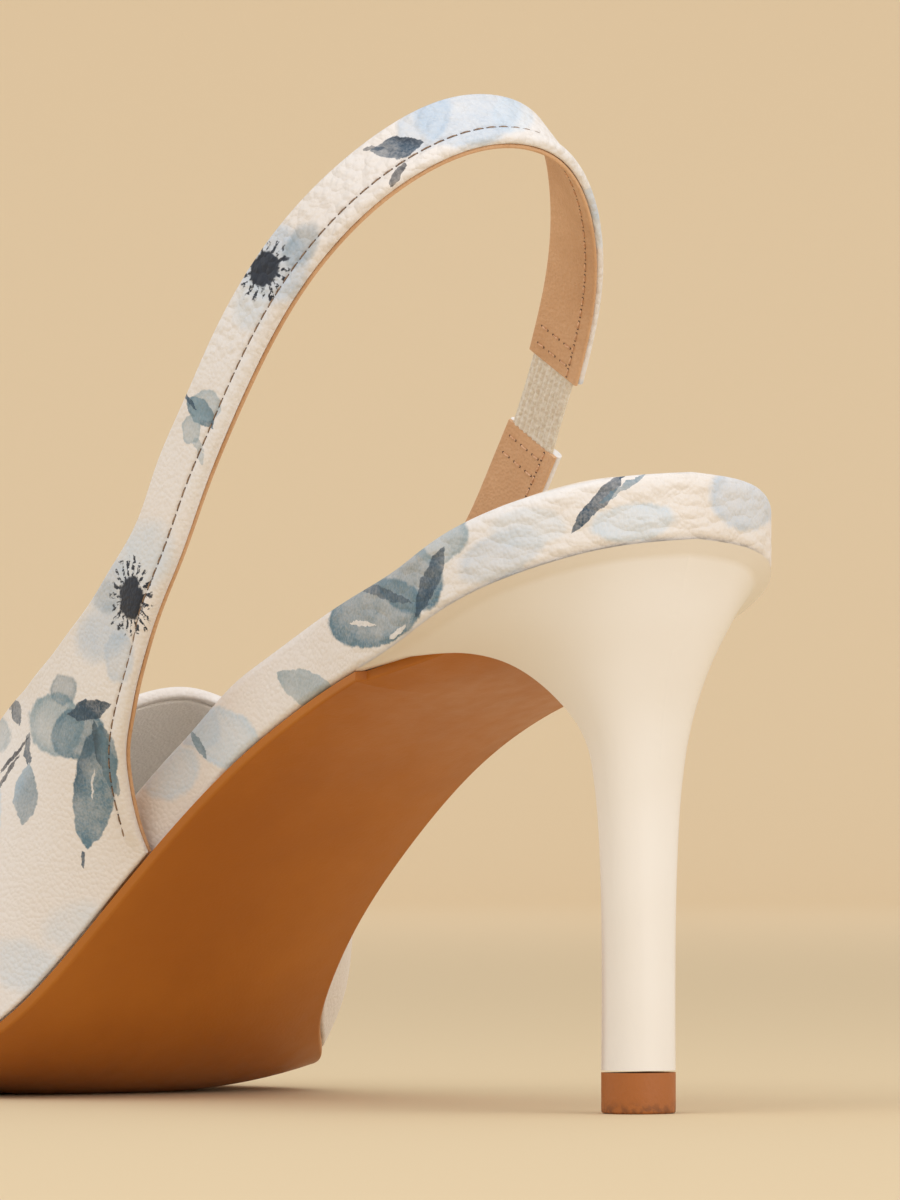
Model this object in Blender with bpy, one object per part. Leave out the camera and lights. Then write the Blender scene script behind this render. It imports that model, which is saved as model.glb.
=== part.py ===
"""Women's slingback court shoe with a stiletto heel, left foot, European size 39.

The part stands empty on its heel tip and its forefoot, on the plane z = 0.
+X runs towards the toe, +Y to the outer side of the foot and +Z up.
The origin is the centre of the heel tip's worn face, on the floor.
"""

import math

import bpy
import bmesh
import numpy as np
from mathutils import Vector

# Driving sizes, in metres.
SHOE_LENGTH = 0.233        # back of the heel seat to the toe's tip, measured level
BACK_X = -0.0130           # the seat's back, behind the middle of the heel tip
BALL_WIDTH = 0.078         # widest part of the sole
SEAT_HEIGHT = 0.0796       # top of the heel at its back, above the floor
TOE_SPRING = 0.009         # lift of the sole's top at the toe
SOLE_BALL = 0.0054         # outsole at the ball, in the middle of its width
SOLE_EDGE = 0.0014         # outsole at its edge
SOLE_FLAT = 0.0004         # how far the ball of the sole is worn flat
BAND = 0.0103              # leather band round the footbed, square to its slope
BAND_TOP_RADIUS = 0.0024
BAND_FOOT_RADIUS = 0.0010
BED_DISH = 0.0012          # how far the footbed's middle lies below its rim
SOCK = 0.0014              # padded sock on the footbed
SOCK_MARGIN = 0.0026       # strip of the footbed left bare round the sock
WALL = 0.0018              # leather and lining of the upper together
STRAP_WIDTH = 0.0108
STRAP_RISE = 0.080         # unit for the heights of the straps and the topline
STRAP_LEAN = math.radians(45)
WING_FULLNESS = 0.0050     # how far the wings swell outwards between sole and topline
INNER_OVERHANG = 0.0045    # how far the vamp's inner side stands out over the sole's edge
INSTEP_RISE = 0.0556       # ridge of the vamp above the sole, at the throat
ELASTIC_WIDTH = 0.0088
ELASTIC_THICK = 0.0012
SEAT_WIDTH = 0.0528        # heel seat at its widest
WING_LENGTH = 0.0485       # heel seat, back to the ends of its two forward wings
WING_TIP = 0.0014          # thickness of the ends of those wings
STEM_CORNER = 0.0008       # rounding of the stem's front corners
TIP_THICK = 0.0057         # heel's top piece, the part that wears
TIP_CHAMFER = 0.0004       # its lower edge, worn round
CLEAR = 0.0003             # gap between pieces that are glued together

# How finely the surfaces are divided.
OUTLINE_STATIONS = 44
BED_ACROSS = 6
SOLE_ACROSS = 8
UPPER_ROWS = 10
STRAP_STEP = 0.0040
HEEL_RINGS = 16
HEEL_SIDE = 12
ELASTIC_STEPS = 4
OUTLINE_SAMPLES = 1600
COLUMN_SAMPLES = 240

# Shares that shape the pieces.
END_CROWDING = 0.63        # how much stations crowd towards rounded ends
SOCK_END = 0.90            # length where the sock stops, inside the toe
SOCK_RIM = 0.55            # thickness of the sock at its edge
DISH_POWER = 2.5           # how squarely the footbed's dish turns up to its rim
CROWN_POWER = 2.6          # the same for the outsole's rounded underside
VAMP_POWER = 2.2           # roundness of the vamp's cross-section
VAMP_TUCK = 2.0            # how steeply the vamp leaves the sole's edge
TOE_START = 0.88           # length where the vamp starts to round down to the toe
TOE_POWER = 2.3
TOE_RUSH = 0.5             # how much sooner the vamp climbs at the toe than at the sides
VAMP_BLEND = 0.24          # length along which the flat wings pass into the vamp
HEAD_SPREAD = 0.92         # how the vamp's columns spread along the throat
TOE_CROWDING = 0.5         # how much rows crowd towards the sole at the toe
SWELL_PLACE = 0.75         # below one, the swell is fullest below mid height
OVERHANG_REACH = (0.43, 0.54, 0.74)  # lengths where the overhang starts, is fullest, ends
OVERHANG_PLACE = 0.5       # below one, it is fullest below mid height
RELAX_PASSES = 40          # how long the upper's face is evened out round the wings
RELAX_LENGTHS = (0.54, 0.74)  # the evening fades out between these lengths
WALL_PASSES = 8            # how long the wall's direction is evened out
BED_SLIP = (0.075, 0.012)  # lengths behind the wing's corner where the bed narrows
BREAST_MIDDLE = 0.412      # middle of the breast at the seat, share of the wings
BREAST_POWER = 4.0         # how squarely the breast turns into the wings
STEM_POWER = 2.0           # the same at the stem
HEEL_TURN = 0.6            # where a side of the heel is widest
HEEL_POWER = 2.2           # roundness of the heel's back

# Outline of the footbed and the sole: share of the length from the back, then the
# outer and the inner half width as shares of the ball's width.
OUTLINE = (
    # length, outer, inner
    (0.000, 0.000, 0.000),
    (0.015, 0.177, 0.172),
    (0.040, 0.270, 0.263),
    (0.070, 0.323, 0.315),
    (0.100, 0.340, 0.336),
    (0.150, 0.329, 0.340),
    (0.200, 0.300, 0.322),
    (0.250, 0.274, 0.302),
    (0.300, 0.263, 0.291),
    (0.350, 0.276, 0.280),
    (0.400, 0.314, 0.258),
    (0.450, 0.370, 0.240),
    (0.500, 0.433, 0.276),
    (0.550, 0.485, 0.384),
    (0.600, 0.506, 0.460),
    (0.650, 0.504, 0.488),
    (0.700, 0.483, 0.469),
    (0.760, 0.437, 0.410),
    (0.820, 0.372, 0.335),
    (0.880, 0.292, 0.250),
    (0.930, 0.213, 0.176),
    (0.965, 0.146, 0.118),
    (0.985, 0.095, 0.077),
    (1.000, 0.000, 0.000),
)

# Side view of the joint between footbed and sole: share of the length, rise as a
# share of the seat's height above the ball, and lift as a share of the toe spring.
PROFILE = (
    # length, rise, spring
    (0.00, 1.000, 0.000),
    (0.04, 0.946, 0.000),
    (0.10, 0.871, 0.000),
    (0.15, 0.811, 0.000),
    (0.20, 0.768, 0.000),
    (0.25, 0.726, 0.000),
    (0.30, 0.667, 0.000),
    (0.35, 0.580, 0.000),
    (0.40, 0.449, 0.000),
    (0.45, 0.283, 0.000),
    (0.50, 0.120, 0.000),
    (0.55, 0.028, 0.000),
    (0.60, 0.002, 0.000),
    (0.65, 0.000, 0.000),
    (0.70, 0.000, 0.000),
    (0.76, 0.000, 0.045),
    (0.82, 0.000, 0.155),
    (0.88, 0.000, 0.355),
    (0.93, 0.000, 0.580),
    (1.00, 0.000, 1.000),
)

# Thickness along the shoe, of the footbed as a share of the band and of the
# outsole's middle as a share of its thickness at the ball.
THICKNESS = (
    # length, footbed, outsole
    (0.00, 0.86, 0.56),
    (0.04, 0.92, 0.56),
    (0.09, 0.97, 0.56),
    (0.15, 1.02, 0.56),
    (0.22, 1.05, 0.56),
    (0.30, 1.00, 0.56),
    (0.38, 0.97, 0.56),
    (0.43, 0.95, 0.57),
    (0.48, 0.85, 0.62),
    (0.53, 0.62, 0.76),
    (0.58, 0.43, 0.93),
    (0.64, 0.33, 1.00),
    (0.72, 0.29, 1.00),
    (0.82, 0.28, 0.88),
    (0.90, 0.28, 0.74),
    (1.00, 0.28, 0.60),
)

# Ridge of the vamp: share of the length, height above the sole as a share of the
# instep's rise, and how far the ridge lies to the inner side, share of the ball.
RIDGE = (
    # length, rise, inward
    (0.40, 1.30, 0.090),
    (0.50, 1.13, 0.110),
    (0.60, 1.00, 0.110),
    (0.66, 0.87, 0.085),
    (0.73, 0.71, 0.055),
    (0.80, 0.56, 0.030),
    (0.88, 0.42, 0.010),
    (0.94, 0.32, 0.000),
    (1.00, 0.24, 0.000),
)

# Middle line of the long strap, from the elastic on the inner side over the heel
# to the outer side. Twist turns the strap about its own line.
STRAP = (
    # length, outward, rise, twist in degrees
    (0.285, -0.349, 0.634, -13.0),
    (0.253, -0.313, 0.726, -13.5),
    (0.211, -0.221, 0.850, -9.5),
    (0.181, -0.078, 0.940, -3.0),
    (0.178, 0.099, 0.951, -4.5),
    (0.201, 0.266, 0.880, -8.5),
    (0.243, 0.371, 0.756, -5.0),
    (0.288, 0.408, 0.622, -1.0),
    (0.313, 0.416, 0.546, 0.0),
)

# Outer wing, from the strap down to its rear corner on the sole: the rear edge,
# the topline, and how much of the wing's fullness stands out between them.
OUTER_WING = (
    # rear edge: length, outward, rise; topline: length, outward, rise; fullness
    (0.318, 0.417, 0.402, 0.358, 0.423, 0.551, 0.10),
    (0.334, 0.426, 0.332, 0.369, 0.432, 0.499, 0.10),
    (0.348, 0.431, 0.292, 0.380, 0.436, 0.479, 0.10),
    (0.364, 0.433, 0.246, 0.400, 0.437, 0.478, 0.12),
    (0.379, 0.427, 0.210, 0.422, 0.435, 0.487, 0.16),
    (0.391, 0.415, 0.184, 0.450, 0.425, 0.525, 0.25),
    (0.402, 0.400, 0.162, 0.476, 0.410, 0.567, 0.42),
    (0.410, 0.375, 0.118, 0.502, 0.395, 0.603, 0.60),
    (0.413, 0.350, 0.060, 0.519, 0.381, 0.617, 0.80),
    (0.412, 0.328, 0.000, 0.536, 0.366, 0.627, 0.95),
)

# Topline across the throat, from the outer wing to the inner one.
THROAT = (
    # length, outward, rise
    (0.569, 0.333, 0.622),
    (0.592, 0.285, 0.618),
    (0.607, 0.205, 0.622),
    (0.611, 0.115, 0.637),
    (0.604, 0.020, 0.660),
    (0.594, -0.075, 0.690),
    (0.587, -0.160, 0.692),
    (0.580, -0.225, 0.668),
    (0.565, -0.285, 0.622),
)

# Inner wing, from its rear corner on the sole up to the short strap.
INNER_WING = (
    # rear edge: length, outward, rise; topline: length, outward, rise; fullness
    (0.414, -0.250, 0.000, 0.543, -0.331, 0.560, 1.15),
    (0.421, -0.302, 0.080, 0.515, -0.356, 0.524, 0.85),
    (0.423, -0.342, 0.169, 0.489, -0.372, 0.505, 0.52),
    (0.420, -0.366, 0.240, 0.466, -0.376, 0.503, 0.28),
    (0.410, -0.378, 0.294, 0.445, -0.372, 0.508, 0.16),
    (0.391, -0.378, 0.330, 0.424, -0.363, 0.500, 0.12),
)

# Middle line of the short strap, from the inner wing up to the elastic.
STUB = (
    # length, outward, rise, twist in degrees
    (0.384, -0.368, 0.426, -8.0),
    (0.362, -0.371, 0.448, -9.0),
    (0.340, -0.372, 0.489, -11.0),
    (0.316, -0.370, 0.546, -12.0),
)

# Where columns of the vamp start on the sole's edge, as shares of the length.
VAMP_STATIONS = (
    0.434, 0.455, 0.477, 0.500, 0.524, 0.550, 0.578, 0.608, 0.640, 0.673, 0.707, 0.741,
    0.775, 0.808, 0.839, 0.868, 0.894, 0.917, 0.937, 0.954, 0.968, 0.980, 0.990, 0.997,
)

# Swell of the vamp beyond the sole's edge, as a share of what the wings have.
VAMP_SWELL = (
    # place from the wing's corner to the toe, swell
    (0.00, 1.00),
    (0.12, 0.98),
    (0.28, 0.72),
    (0.45, 0.48),
    (0.65, 0.36),
    (0.85, 0.30),
    (1.00, 0.26),
)

# The heel in rings from its foot to its seat. Back and corner give the two ends of
# a side; lengths are shares of the seat's wings, heights of the seat's height and
# widths of half the seat's width. Middle is the breast's middle, and seat says how
# much the ring takes the seat's own outline.
HEEL = (
    # back, back height, corner, corner height, corner width, width, middle, seat
    (0.179, 0.0754, 0.338, 0.0754, 0.160, 0.197, 0.330, 0.00),
    (0.181, 0.2060, 0.330, 0.2060, 0.167, 0.194, 0.320, 0.00),
    (0.183, 0.3390, 0.322, 0.3390, 0.181, 0.198, 0.307, 0.00),
    (0.182, 0.4400, 0.318, 0.4400, 0.196, 0.207, 0.303, 0.00),
    (0.179, 0.5400, 0.318, 0.5340, 0.217, 0.226, 0.303, 0.00),
    (0.170, 0.6280, 0.322, 0.6160, 0.252, 0.262, 0.305, 0.03),
    (0.156, 0.7040, 0.336, 0.6720, 0.309, 0.322, 0.313, 0.10),
    (0.125, 0.7910, 0.390, 0.7320, 0.414, 0.444, 0.334, 0.25),
    (0.092, 0.8610, 0.474, 0.7830, 0.553, 0.604, 0.363, 0.45),
    (0.066, 0.9200, 0.598, 0.8030, 0.689, 0.762, 0.388, 0.70),
    (0.042, 0.9700, 0.784, 0.7980, 0.788, 0.898, 0.404, 0.90),
)


def clear_scene():
    for item in list(bpy.data.objects):
        bpy.data.objects.remove(item, do_unlink=True)


def smooth_curve(keys, values, wanted):
    """Values of a smooth curve through the given rows (natural cubic spline)."""
    keys = np.asarray(keys, float)
    values = np.asarray(values, float)
    wanted = np.asarray(wanted, float)
    count = len(keys)
    step = np.diff(keys)
    system = np.zeros((count, count))
    right = np.zeros((count,) + values.shape[1:])
    system[0, 0] = 1.0
    system[-1, -1] = 1.0
    for i in range(1, count - 1):
        system[i, i - 1] = step[i - 1]
        system[i, i] = 2.0 * (step[i - 1] + step[i])
        system[i, i + 1] = step[i]
        after = (values[i + 1] - values[i]) / step[i]
        before = (values[i] - values[i - 1]) / step[i - 1]
        right[i] = 6.0 * (after - before)
    bend = np.linalg.solve(system, right)
    spot = np.clip(np.searchsorted(keys, wanted, side="right") - 1, 0, count - 2)
    width = step[spot]
    low = keys[spot + 1] - wanted
    high = wanted - keys[spot]
    if values.ndim > 1:
        width = width[:, None]
        low = low[:, None]
        high = high[:, None]
    cubic = bend[spot] * low ** 3 + bend[spot + 1] * high ** 3
    start = (values[spot] / width - bend[spot] * width / 6.0) * low
    end = (values[spot + 1] / width - bend[spot + 1] * width / 6.0) * high
    return cubic / (6.0 * width) + start + end


def column(table, index):
    return np.array([row[index] for row in table])


def ease(share):
    share = np.clip(share, 0.0, 1.0)
    return share * share * (3.0 - 2.0 * share)


def unit(vectors):
    length = np.linalg.norm(vectors, axis=-1, keepdims=True)
    return vectors / np.maximum(length, 1e-12)


def run_length(points):
    """Length along a line of points, from its first point to each of them."""
    steps = np.linalg.norm(np.diff(points, axis=0), axis=1)
    return np.concatenate(([0.0], np.cumsum(steps)))


def crowded(count):
    """Shares from 0 to 1, closer together towards both ends."""
    even = np.linspace(0.0, 1.0, count)
    rounded = (1.0 - np.cos(math.pi * even)) / 2.0
    return END_CROWDING * rounded + (1.0 - END_CROWDING) * even


def x_at(share):
    return BACK_X + SHOE_LENGTH * np.asarray(share, float)


def share_at(x):
    return np.clip((np.asarray(x, float) - BACK_X) / SHOE_LENGTH, 0.0, 1.0)


def table_at(table, index, x):
    """A column of a table by length, at one x or several."""
    answer = smooth_curve(column(table, 0), column(table, index), np.atleast_1d(share_at(x)))
    return answer if np.ndim(x) else float(answer[0])


def joint_height(x):
    """Height of the joint between the footbed and the sole."""
    ball = SOLE_BALL - SOLE_FLAT
    rise = (SEAT_HEIGHT - ball) * table_at(PROFILE, 1, x)
    return ball + rise + TOE_SPRING * table_at(PROFILE, 2, x)


def slope_factor(x):
    """How much longer an upright measure is than one square to the slope."""
    step = 0.001
    x = np.asarray(x, float)
    slope = (joint_height(x + step) - joint_height(x - step)) / (2.0 * step)
    return np.sqrt(1.0 + np.asarray(slope) ** 2)


def above_joint(x, distance):
    """Height of a point at a distance from the joint, square to its slope."""
    return joint_height(x) + distance * slope_factor(x)


def outline_curve(index):
    """Dense points of one side of the outline, from the back to the toe."""
    points = np.column_stack((x_at(column(OUTLINE, 0)), BALL_WIDTH * column(OUTLINE, index)))
    length = run_length(points)
    dense = smooth_curve(length, points, np.linspace(0.0, length[-1], OUTLINE_SAMPLES))
    dense[:, 0] = np.maximum.accumulate(np.clip(dense[:, 0], BACK_X, x_at(1.0)))
    dense[:, 1] = np.maximum(dense[:, 1], 0.0)
    return dense


SIDES = {1: outline_curve(1), -1: outline_curve(2)}


def half_width(x, side):
    return np.interp(x, SIDES[side][:, 0], SIDES[side][:, 1])


def inset_side(side, inset):
    """One side of the outline moved inwards; inset is a size or one size per point."""
    curve = SIDES[side]
    tangent = np.gradient(curve, axis=0)
    tangent[0] = (0.0, 1.0)
    tangent[-1] = (0.0, -1.0)
    tangent = unit(tangent)
    inward = np.column_stack((tangent[:, 1], -tangent[:, 0]))
    moved = curve + inward * np.reshape(inset, (-1, 1))
    moved[:, 1] = np.maximum(moved[:, 1], 0.0)
    moved[:, 0] = np.maximum.accumulate(moved[:, 0])
    return moved


def make_object(name, vertices, faces, colour, roughness):
    work = bmesh.new()
    points = [work.verts.new(Vector(v)) for v in vertices]
    for face in faces:
        corners = []
        for index in face:
            if points[index] not in corners:
                corners.append(points[index])
        if len(corners) > 2:
            work.faces.new(corners)
    bmesh.ops.remove_doubles(work, verts=work.verts, dist=1e-7)
    bmesh.ops.recalc_face_normals(work, faces=work.faces)
    if work.calc_volume(signed=True) < 0.0:
        bmesh.ops.reverse_faces(work, faces=work.faces)
    mesh = bpy.data.meshes.new(name)
    work.to_mesh(mesh)
    work.free()
    mesh.shade_smooth()
    mesh.set_sharp_from_angle(angle=math.radians(35))
    thing = bpy.data.objects.new(name, mesh)
    bpy.context.collection.objects.link(thing)
    material = bpy.data.materials.new(name)
    material.use_nodes = True
    shader = material.node_tree.nodes["Principled BSDF"]
    shader.inputs["Base Color"].default_value = (*colour, 1.0)
    shader.inputs["Roughness"].default_value = roughness
    shader.inputs["Metallic"].default_value = 0.0
    mesh.materials.append(material)
    return thing


def join_rings(faces, low, high):
    size = len(low)
    for k in range(size):
        after = (k + 1) % size
        faces.append((low[k], low[after], high[after], high[k]))


def join_grid(faces, grid):
    for line, following in zip(grid[:-1], grid[1:]):
        for k in range(len(line) - 1):
            faces.append((line[k], following[k], following[k + 1], line[k + 1]))


def slab(name, rows, bottom, top, across, colour, roughness):
    """A closed slab: rim rows run round the outline, bottom and top close it.

    Each row gives x, the outer and inner half width and the height at every
    station. Bottom and top give a height from x and the place across the piece,
    from -1 at the inner side to 1 at the outer side.
    """
    vertices = []
    faces = []
    rings = []
    count = len(rows[0][0])
    for x, outer, inner, height in rows:
        start = len(vertices)
        for i in range(count):
            vertices.append((x[i], outer[i], height[i]))
        for i in range(count - 2, 0, -1):
            vertices.append((x[i], -inner[i], height[i]))
        rings.append(list(range(start, len(vertices))))
    for low, high in zip(rings[:-1], rings[1:]):
        join_rings(faces, low, high)
    for ring, row, level in ((rings[0], rows[0], bottom), (rings[-1], rows[-1], top)):
        x, outer, inner, _ = row
        grid = [[ring[0]] * (across + 1)]
        for i in range(1, count - 1):
            line = [ring[i]]
            for k in range(1, across):
                share = k / across
                line.append(len(vertices))
                y = outer[i] - (outer[i] + inner[i]) * share
                vertices.append((x[i], y, level(x[i], 1.0 - 2.0 * share)))
            line.append(ring[2 * (count - 1) - i])
            grid.append(line)
        grid.append([ring[count - 1]] * (across + 1))
        join_grid(faces, grid)
    return make_object(name, vertices, faces, colour, roughness)


def bed_slip(curve):
    """The footbed fills the outline at the heel and slips inside the upper ahead.

    At the toe it stays another wall back, because the upper leans inwards there.
    """
    share = share_at(curve[:, 0])
    corner = OUTER_WING[-1][0]
    start = corner - BED_SLIP[0]
    end = corner - BED_SLIP[1]
    toe = ease((share - TOE_START) / (1.0 - TOE_START))
    return ease((share - start) / (end - start)) * (WALL + 2.0 * CLEAR) + toe * WALL


def bed_outline(inset):
    """Stations of the footbed: x, outer and inner half width."""
    outer = inset_side(1, bed_slip(SIDES[1]) + inset)
    inner = inset_side(-1, bed_slip(SIDES[-1]) + inset)
    back = max(outer[0, 0], inner[0, 0])
    front = min(outer[-1, 0], inner[-1, 0])
    x = back + (front - back) * crowded(OUTLINE_STATIONS)
    wide_outer = np.interp(x, outer[:, 0], outer[:, 1])
    wide_inner = np.interp(x, inner[:, 0], inner[:, 1])
    for wide in (wide_outer, wide_inner):
        wide[0] = 0.0
        wide[-1] = 0.0
    return x, wide_outer, wide_inner


def bed_thickness(x):
    return BAND * table_at(THICKNESS, 1, x)


def bed_foot(x, place):
    return above_joint(x, CLEAR / 2.0)


def bed_top(x, place):
    """Top of the footbed; place runs from -1 to 1 across it."""
    dish = BED_DISH * (1.0 - abs(place) ** DISH_POWER)
    return above_joint(x, CLEAR / 2.0 + bed_thickness(x) - dish)


def build_footbed():
    foot = BAND_FOOT_RADIUS
    head = BAND_TOP_RADIUS
    # Rounded corners: how far in a row lies, and how far from the joint or the top.
    low_corner = ((foot, 0.0), (foot * 0.29, foot * 0.29), (0.0, foot))
    high_corner = ((0.0, head), (head * 0.15, head * 0.45), (head * 0.5, head * 0.13), (head, 0.0))
    rows = []
    for inset, rise in low_corner:
        x, outer, inner = bed_outline(inset)
        squeeze = np.minimum(1.0, bed_thickness(x) / (foot + head))
        rows.append((x, outer, inner, above_joint(x, CLEAR / 2.0 + rise * squeeze)))
    for inset, drop in high_corner:
        x, outer, inner = bed_outline(inset)
        thick = bed_thickness(x)
        squeeze = np.minimum(1.0, thick / (foot + head)) * 0.9
        rows.append((x, outer, inner, above_joint(x, CLEAR / 2.0 + thick - drop * squeeze)))
    return slab("footbed", rows, bed_foot, bed_top, BED_ACROSS, (0.80, 0.75, 0.70), 0.55)


def build_insole():
    """Padded sock that lies in the footbed's dish."""
    x, outer, inner = bed_outline(BAND_TOP_RADIUS + SOCK_MARGIN)
    rim_x, rim_outer, rim_inner = bed_outline(BAND_TOP_RADIUS)
    count = int(np.sum(share_at(x) < SOCK_END))
    vertices = []
    faces = []
    grids = []
    for thick in (0.0, SOCK):
        grid = []
        for i in range(count):
            wide_outer = np.interp(x[i], rim_x, rim_outer)
            wide_inner = np.interp(x[i], rim_x, rim_inner)
            line = []
            for k in range(BED_ACROSS + 1):
                y = outer[i] - (outer[i] + inner[i]) * k / BED_ACROSS
                place = (2.0 * y - wide_outer + wide_inner) / (wide_outer + wide_inner)
                at_rim = k in (0, BED_ACROSS) or i in (0, count - 1)
                lift = 2.0 * CLEAR + thick * (SOCK_RIM if at_rim else 1.0)
                line.append(len(vertices))
                vertices.append((x[i], y, bed_top(x[i], place) + lift * slope_factor(x[i])))
            grid.append(line)
        join_grid(faces, grid)
        grids.append(grid)
    rims = []
    for grid in grids:
        near = [line[0] for line in grid]
        far = [line[-1] for line in grid]
        rims.append(near + grid[-1][1:-1] + far[::-1] + grid[0][1:-1][::-1])
    join_rings(faces, rims[0], rims[1])
    return make_object("insole", vertices, faces, (0.66, 0.45, 0.30), 0.6)


def breast_line(corner_x, inner_y, middle_x, power):
    """The heel's front face on one side, from the corner to the middle plane."""
    points = []
    for k in range(HEEL_SIDE + 1):
        y = inner_y * math.cos(0.5 * math.pi * k / HEEL_SIDE)
        points.append((middle_x + (corner_x - middle_x) * (y / inner_y) ** power, y))
    return points


def seat_corner(side):
    """End of a wing of the seat: x, outer half width and inner half width."""
    x = BACK_X + WING_LENGTH
    wide = float(half_width(x, side))
    return x, wide, wide - WING_TIP


def tongue_width(x, start, side):
    """The outsole narrows to a tongue that fits between the heel's wings."""
    corner_x, _, inner_y = seat_corner(side)
    share = np.clip((x - start) / (corner_x - start), 0.0, 1.0)
    return (inner_y - 1.3 * CLEAR) * share ** (1.0 / BREAST_POWER)


def sole_outline(inset):
    """Stations of the outsole: x, outer and inner half width."""
    corner = BACK_X + WING_LENGTH
    start = BACK_X + BREAST_MIDDLE * WING_LENGTH + 1.5 * CLEAR
    front = min(inset_side(1, inset)[-1, 0], inset_side(-1, inset)[-1, 0])
    tongue = start + (corner - start) * np.linspace(0.0, 1.0, 10) ** 2.2
    tongue[0] += inset / 2.0
    body = corner + 1.5 * CLEAR
    ahead = body + (front - body) * crowded(OUTLINE_STATIONS - 6)
    x = np.concatenate((tongue, ahead))
    widths = []
    for side in (1, -1):
        curve = inset_side(side, inset)
        wide = np.interp(x, curve[:, 0], curve[:, 1])
        narrow = np.maximum(tongue_width(x, start, side) - inset, 0.0)
        wide = np.where(x > corner, wide, np.minimum(wide, narrow))
        wide[0] = 0.0
        wide[-1] = 0.0
        widths.append(wide)
    return x, widths[0], widths[1]


def sole_foot(x, place):
    """Underside of the outsole, rounded across and worn flat on the floor."""
    middle = SOLE_BALL * table_at(THICKNESS, 2, x)
    depth = SOLE_EDGE + (middle - SOLE_EDGE) * (1.0 - abs(place) ** CROWN_POWER)
    return max(0.0, above_joint(x, -CLEAR / 2.0 - depth))


def sole_top(x, place):
    return above_joint(x, -CLEAR / 2.0)


def build_outsole():
    edge = CLEAR
    rows = []
    for inset, drop in ((edge + SOLE_EDGE / 3.0, 1.0), (edge, 0.7), (edge, 0.0)):
        x, outer, inner = sole_outline(inset)
        rows.append((x, outer, inner, above_joint(x, -CLEAR / 2.0 - drop * SOLE_EDGE)))
    return slab("outsole", rows, sole_foot, sole_top, SOLE_ACROSS, (0.40, 0.16, 0.05), 0.38)


def heel_side(ring, side):
    """Outer points of one side of a heel ring, from the back to the corner."""
    back, back_z, corner, corner_z, corner_wide, wide, _, seat = ring
    x_back = BACK_X + back * WING_LENGTH
    x_corner = BACK_X + corner * WING_LENGTH
    points = []
    for t in crowded(HEEL_SIDE + 1):
        x = x_back + (x_corner - x_back) * t
        if t < HEEL_TURN:
            shape = (1.0 - (1.0 - t / HEEL_TURN) ** HEEL_POWER) ** (1.0 / HEEL_POWER)
        else:
            shape = 1.0 - (1.0 - corner_wide / wide) * ((t - HEEL_TURN) / (1.0 - HEEL_TURN)) ** 2
        own = shape * wide * SEAT_WIDTH / 2.0
        outline = float(half_width(BACK_X + t * (x_corner - BACK_X), side)) * wide
        z = SEAT_HEIGHT * (back_z + (corner_z - back_z) * t)
        points.append((x, own * (1.0 - seat) + outline * seat, z))
    return points


def heel_ring(ring, side):
    """Outer line and breast of one side of a ring below the seat."""
    seat = ring[7]
    outer = heel_side(ring, side)
    back = outer[0]
    corner = outer[-1]
    thick = STEM_CORNER + (WING_TIP - STEM_CORNER) * seat
    power = STEM_POWER + (BREAST_POWER - STEM_POWER) * seat
    breast = []
    middle_x = BACK_X + ring[6] * WING_LENGTH
    for x, y in breast_line(corner[0], corner[1] - thick, middle_x, power):
        share = (x - back[0]) / (corner[0] - back[0])
        breast.append((x, y, back[2] + (corner[2] - back[2]) * share))
    return outer, breast


def seat_ring(side):
    """Outer line and breast of the heel's top, under the footbed and the sole."""
    corner_x, _, inner_y = seat_corner(side)
    middle_x = BACK_X + BREAST_MIDDLE * WING_LENGTH
    plan = []
    for t in crowded(HEEL_SIDE + 1):
        x = BACK_X + WING_LENGTH * t
        plan.append((x, float(half_width(x, side))))
    outer = [(x, y, above_joint(x, -CLEAR / 2.0)) for x, y in plan]
    front = breast_line(corner_x, inner_y, middle_x, BREAST_POWER)
    breast = [(x, y, above_joint(x, -CLEAR / 2.0)) for x, y in front]
    return outer, breast


def build_heel():
    shares = np.linspace(0.0, 1.0, len(HEEL))
    smooth = smooth_curve(shares, np.array(HEEL), np.linspace(0.0, 1.0, HEEL_RINGS))
    smooth[:, 7] = np.clip(smooth[:, 7], 0.0, 1.0)
    levels = []
    for ring in smooth:
        levels.append({side: heel_ring(ring, side) for side in (1, -1)})
    foot = TIP_THICK + CLEAR
    for side in (1, -1):
        levels[0][side] = [[(x, y, foot) for x, y, _ in line] for line in levels[0][side]]
    levels.append({side: seat_ring(side) for side in (1, -1)})
    vertices = []
    faces = []
    rings = []
    for level in levels:
        ring = {}
        for side in (1, -1):
            lines = []
            for line in level[side]:
                lines.append(list(range(len(vertices), len(vertices) + len(line))))
                vertices.extend((x, side * y, z) for x, y, z in line)
            ring[side] = lines
        rings.append(ring)
    for low, high in zip(rings[:-1], rings[1:]):
        for side in (1, -1):
            join_grid(faces, (low[side][0] + low[side][1], high[side][0] + high[side][1]))
    for ring in (rings[0], rings[-1]):
        for side in (1, -1):
            join_grid(faces, (ring[side][0], ring[side][1][::-1]))
    return make_object("heel", vertices, faces, (0.86, 0.82, 0.74), 0.22)


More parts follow.
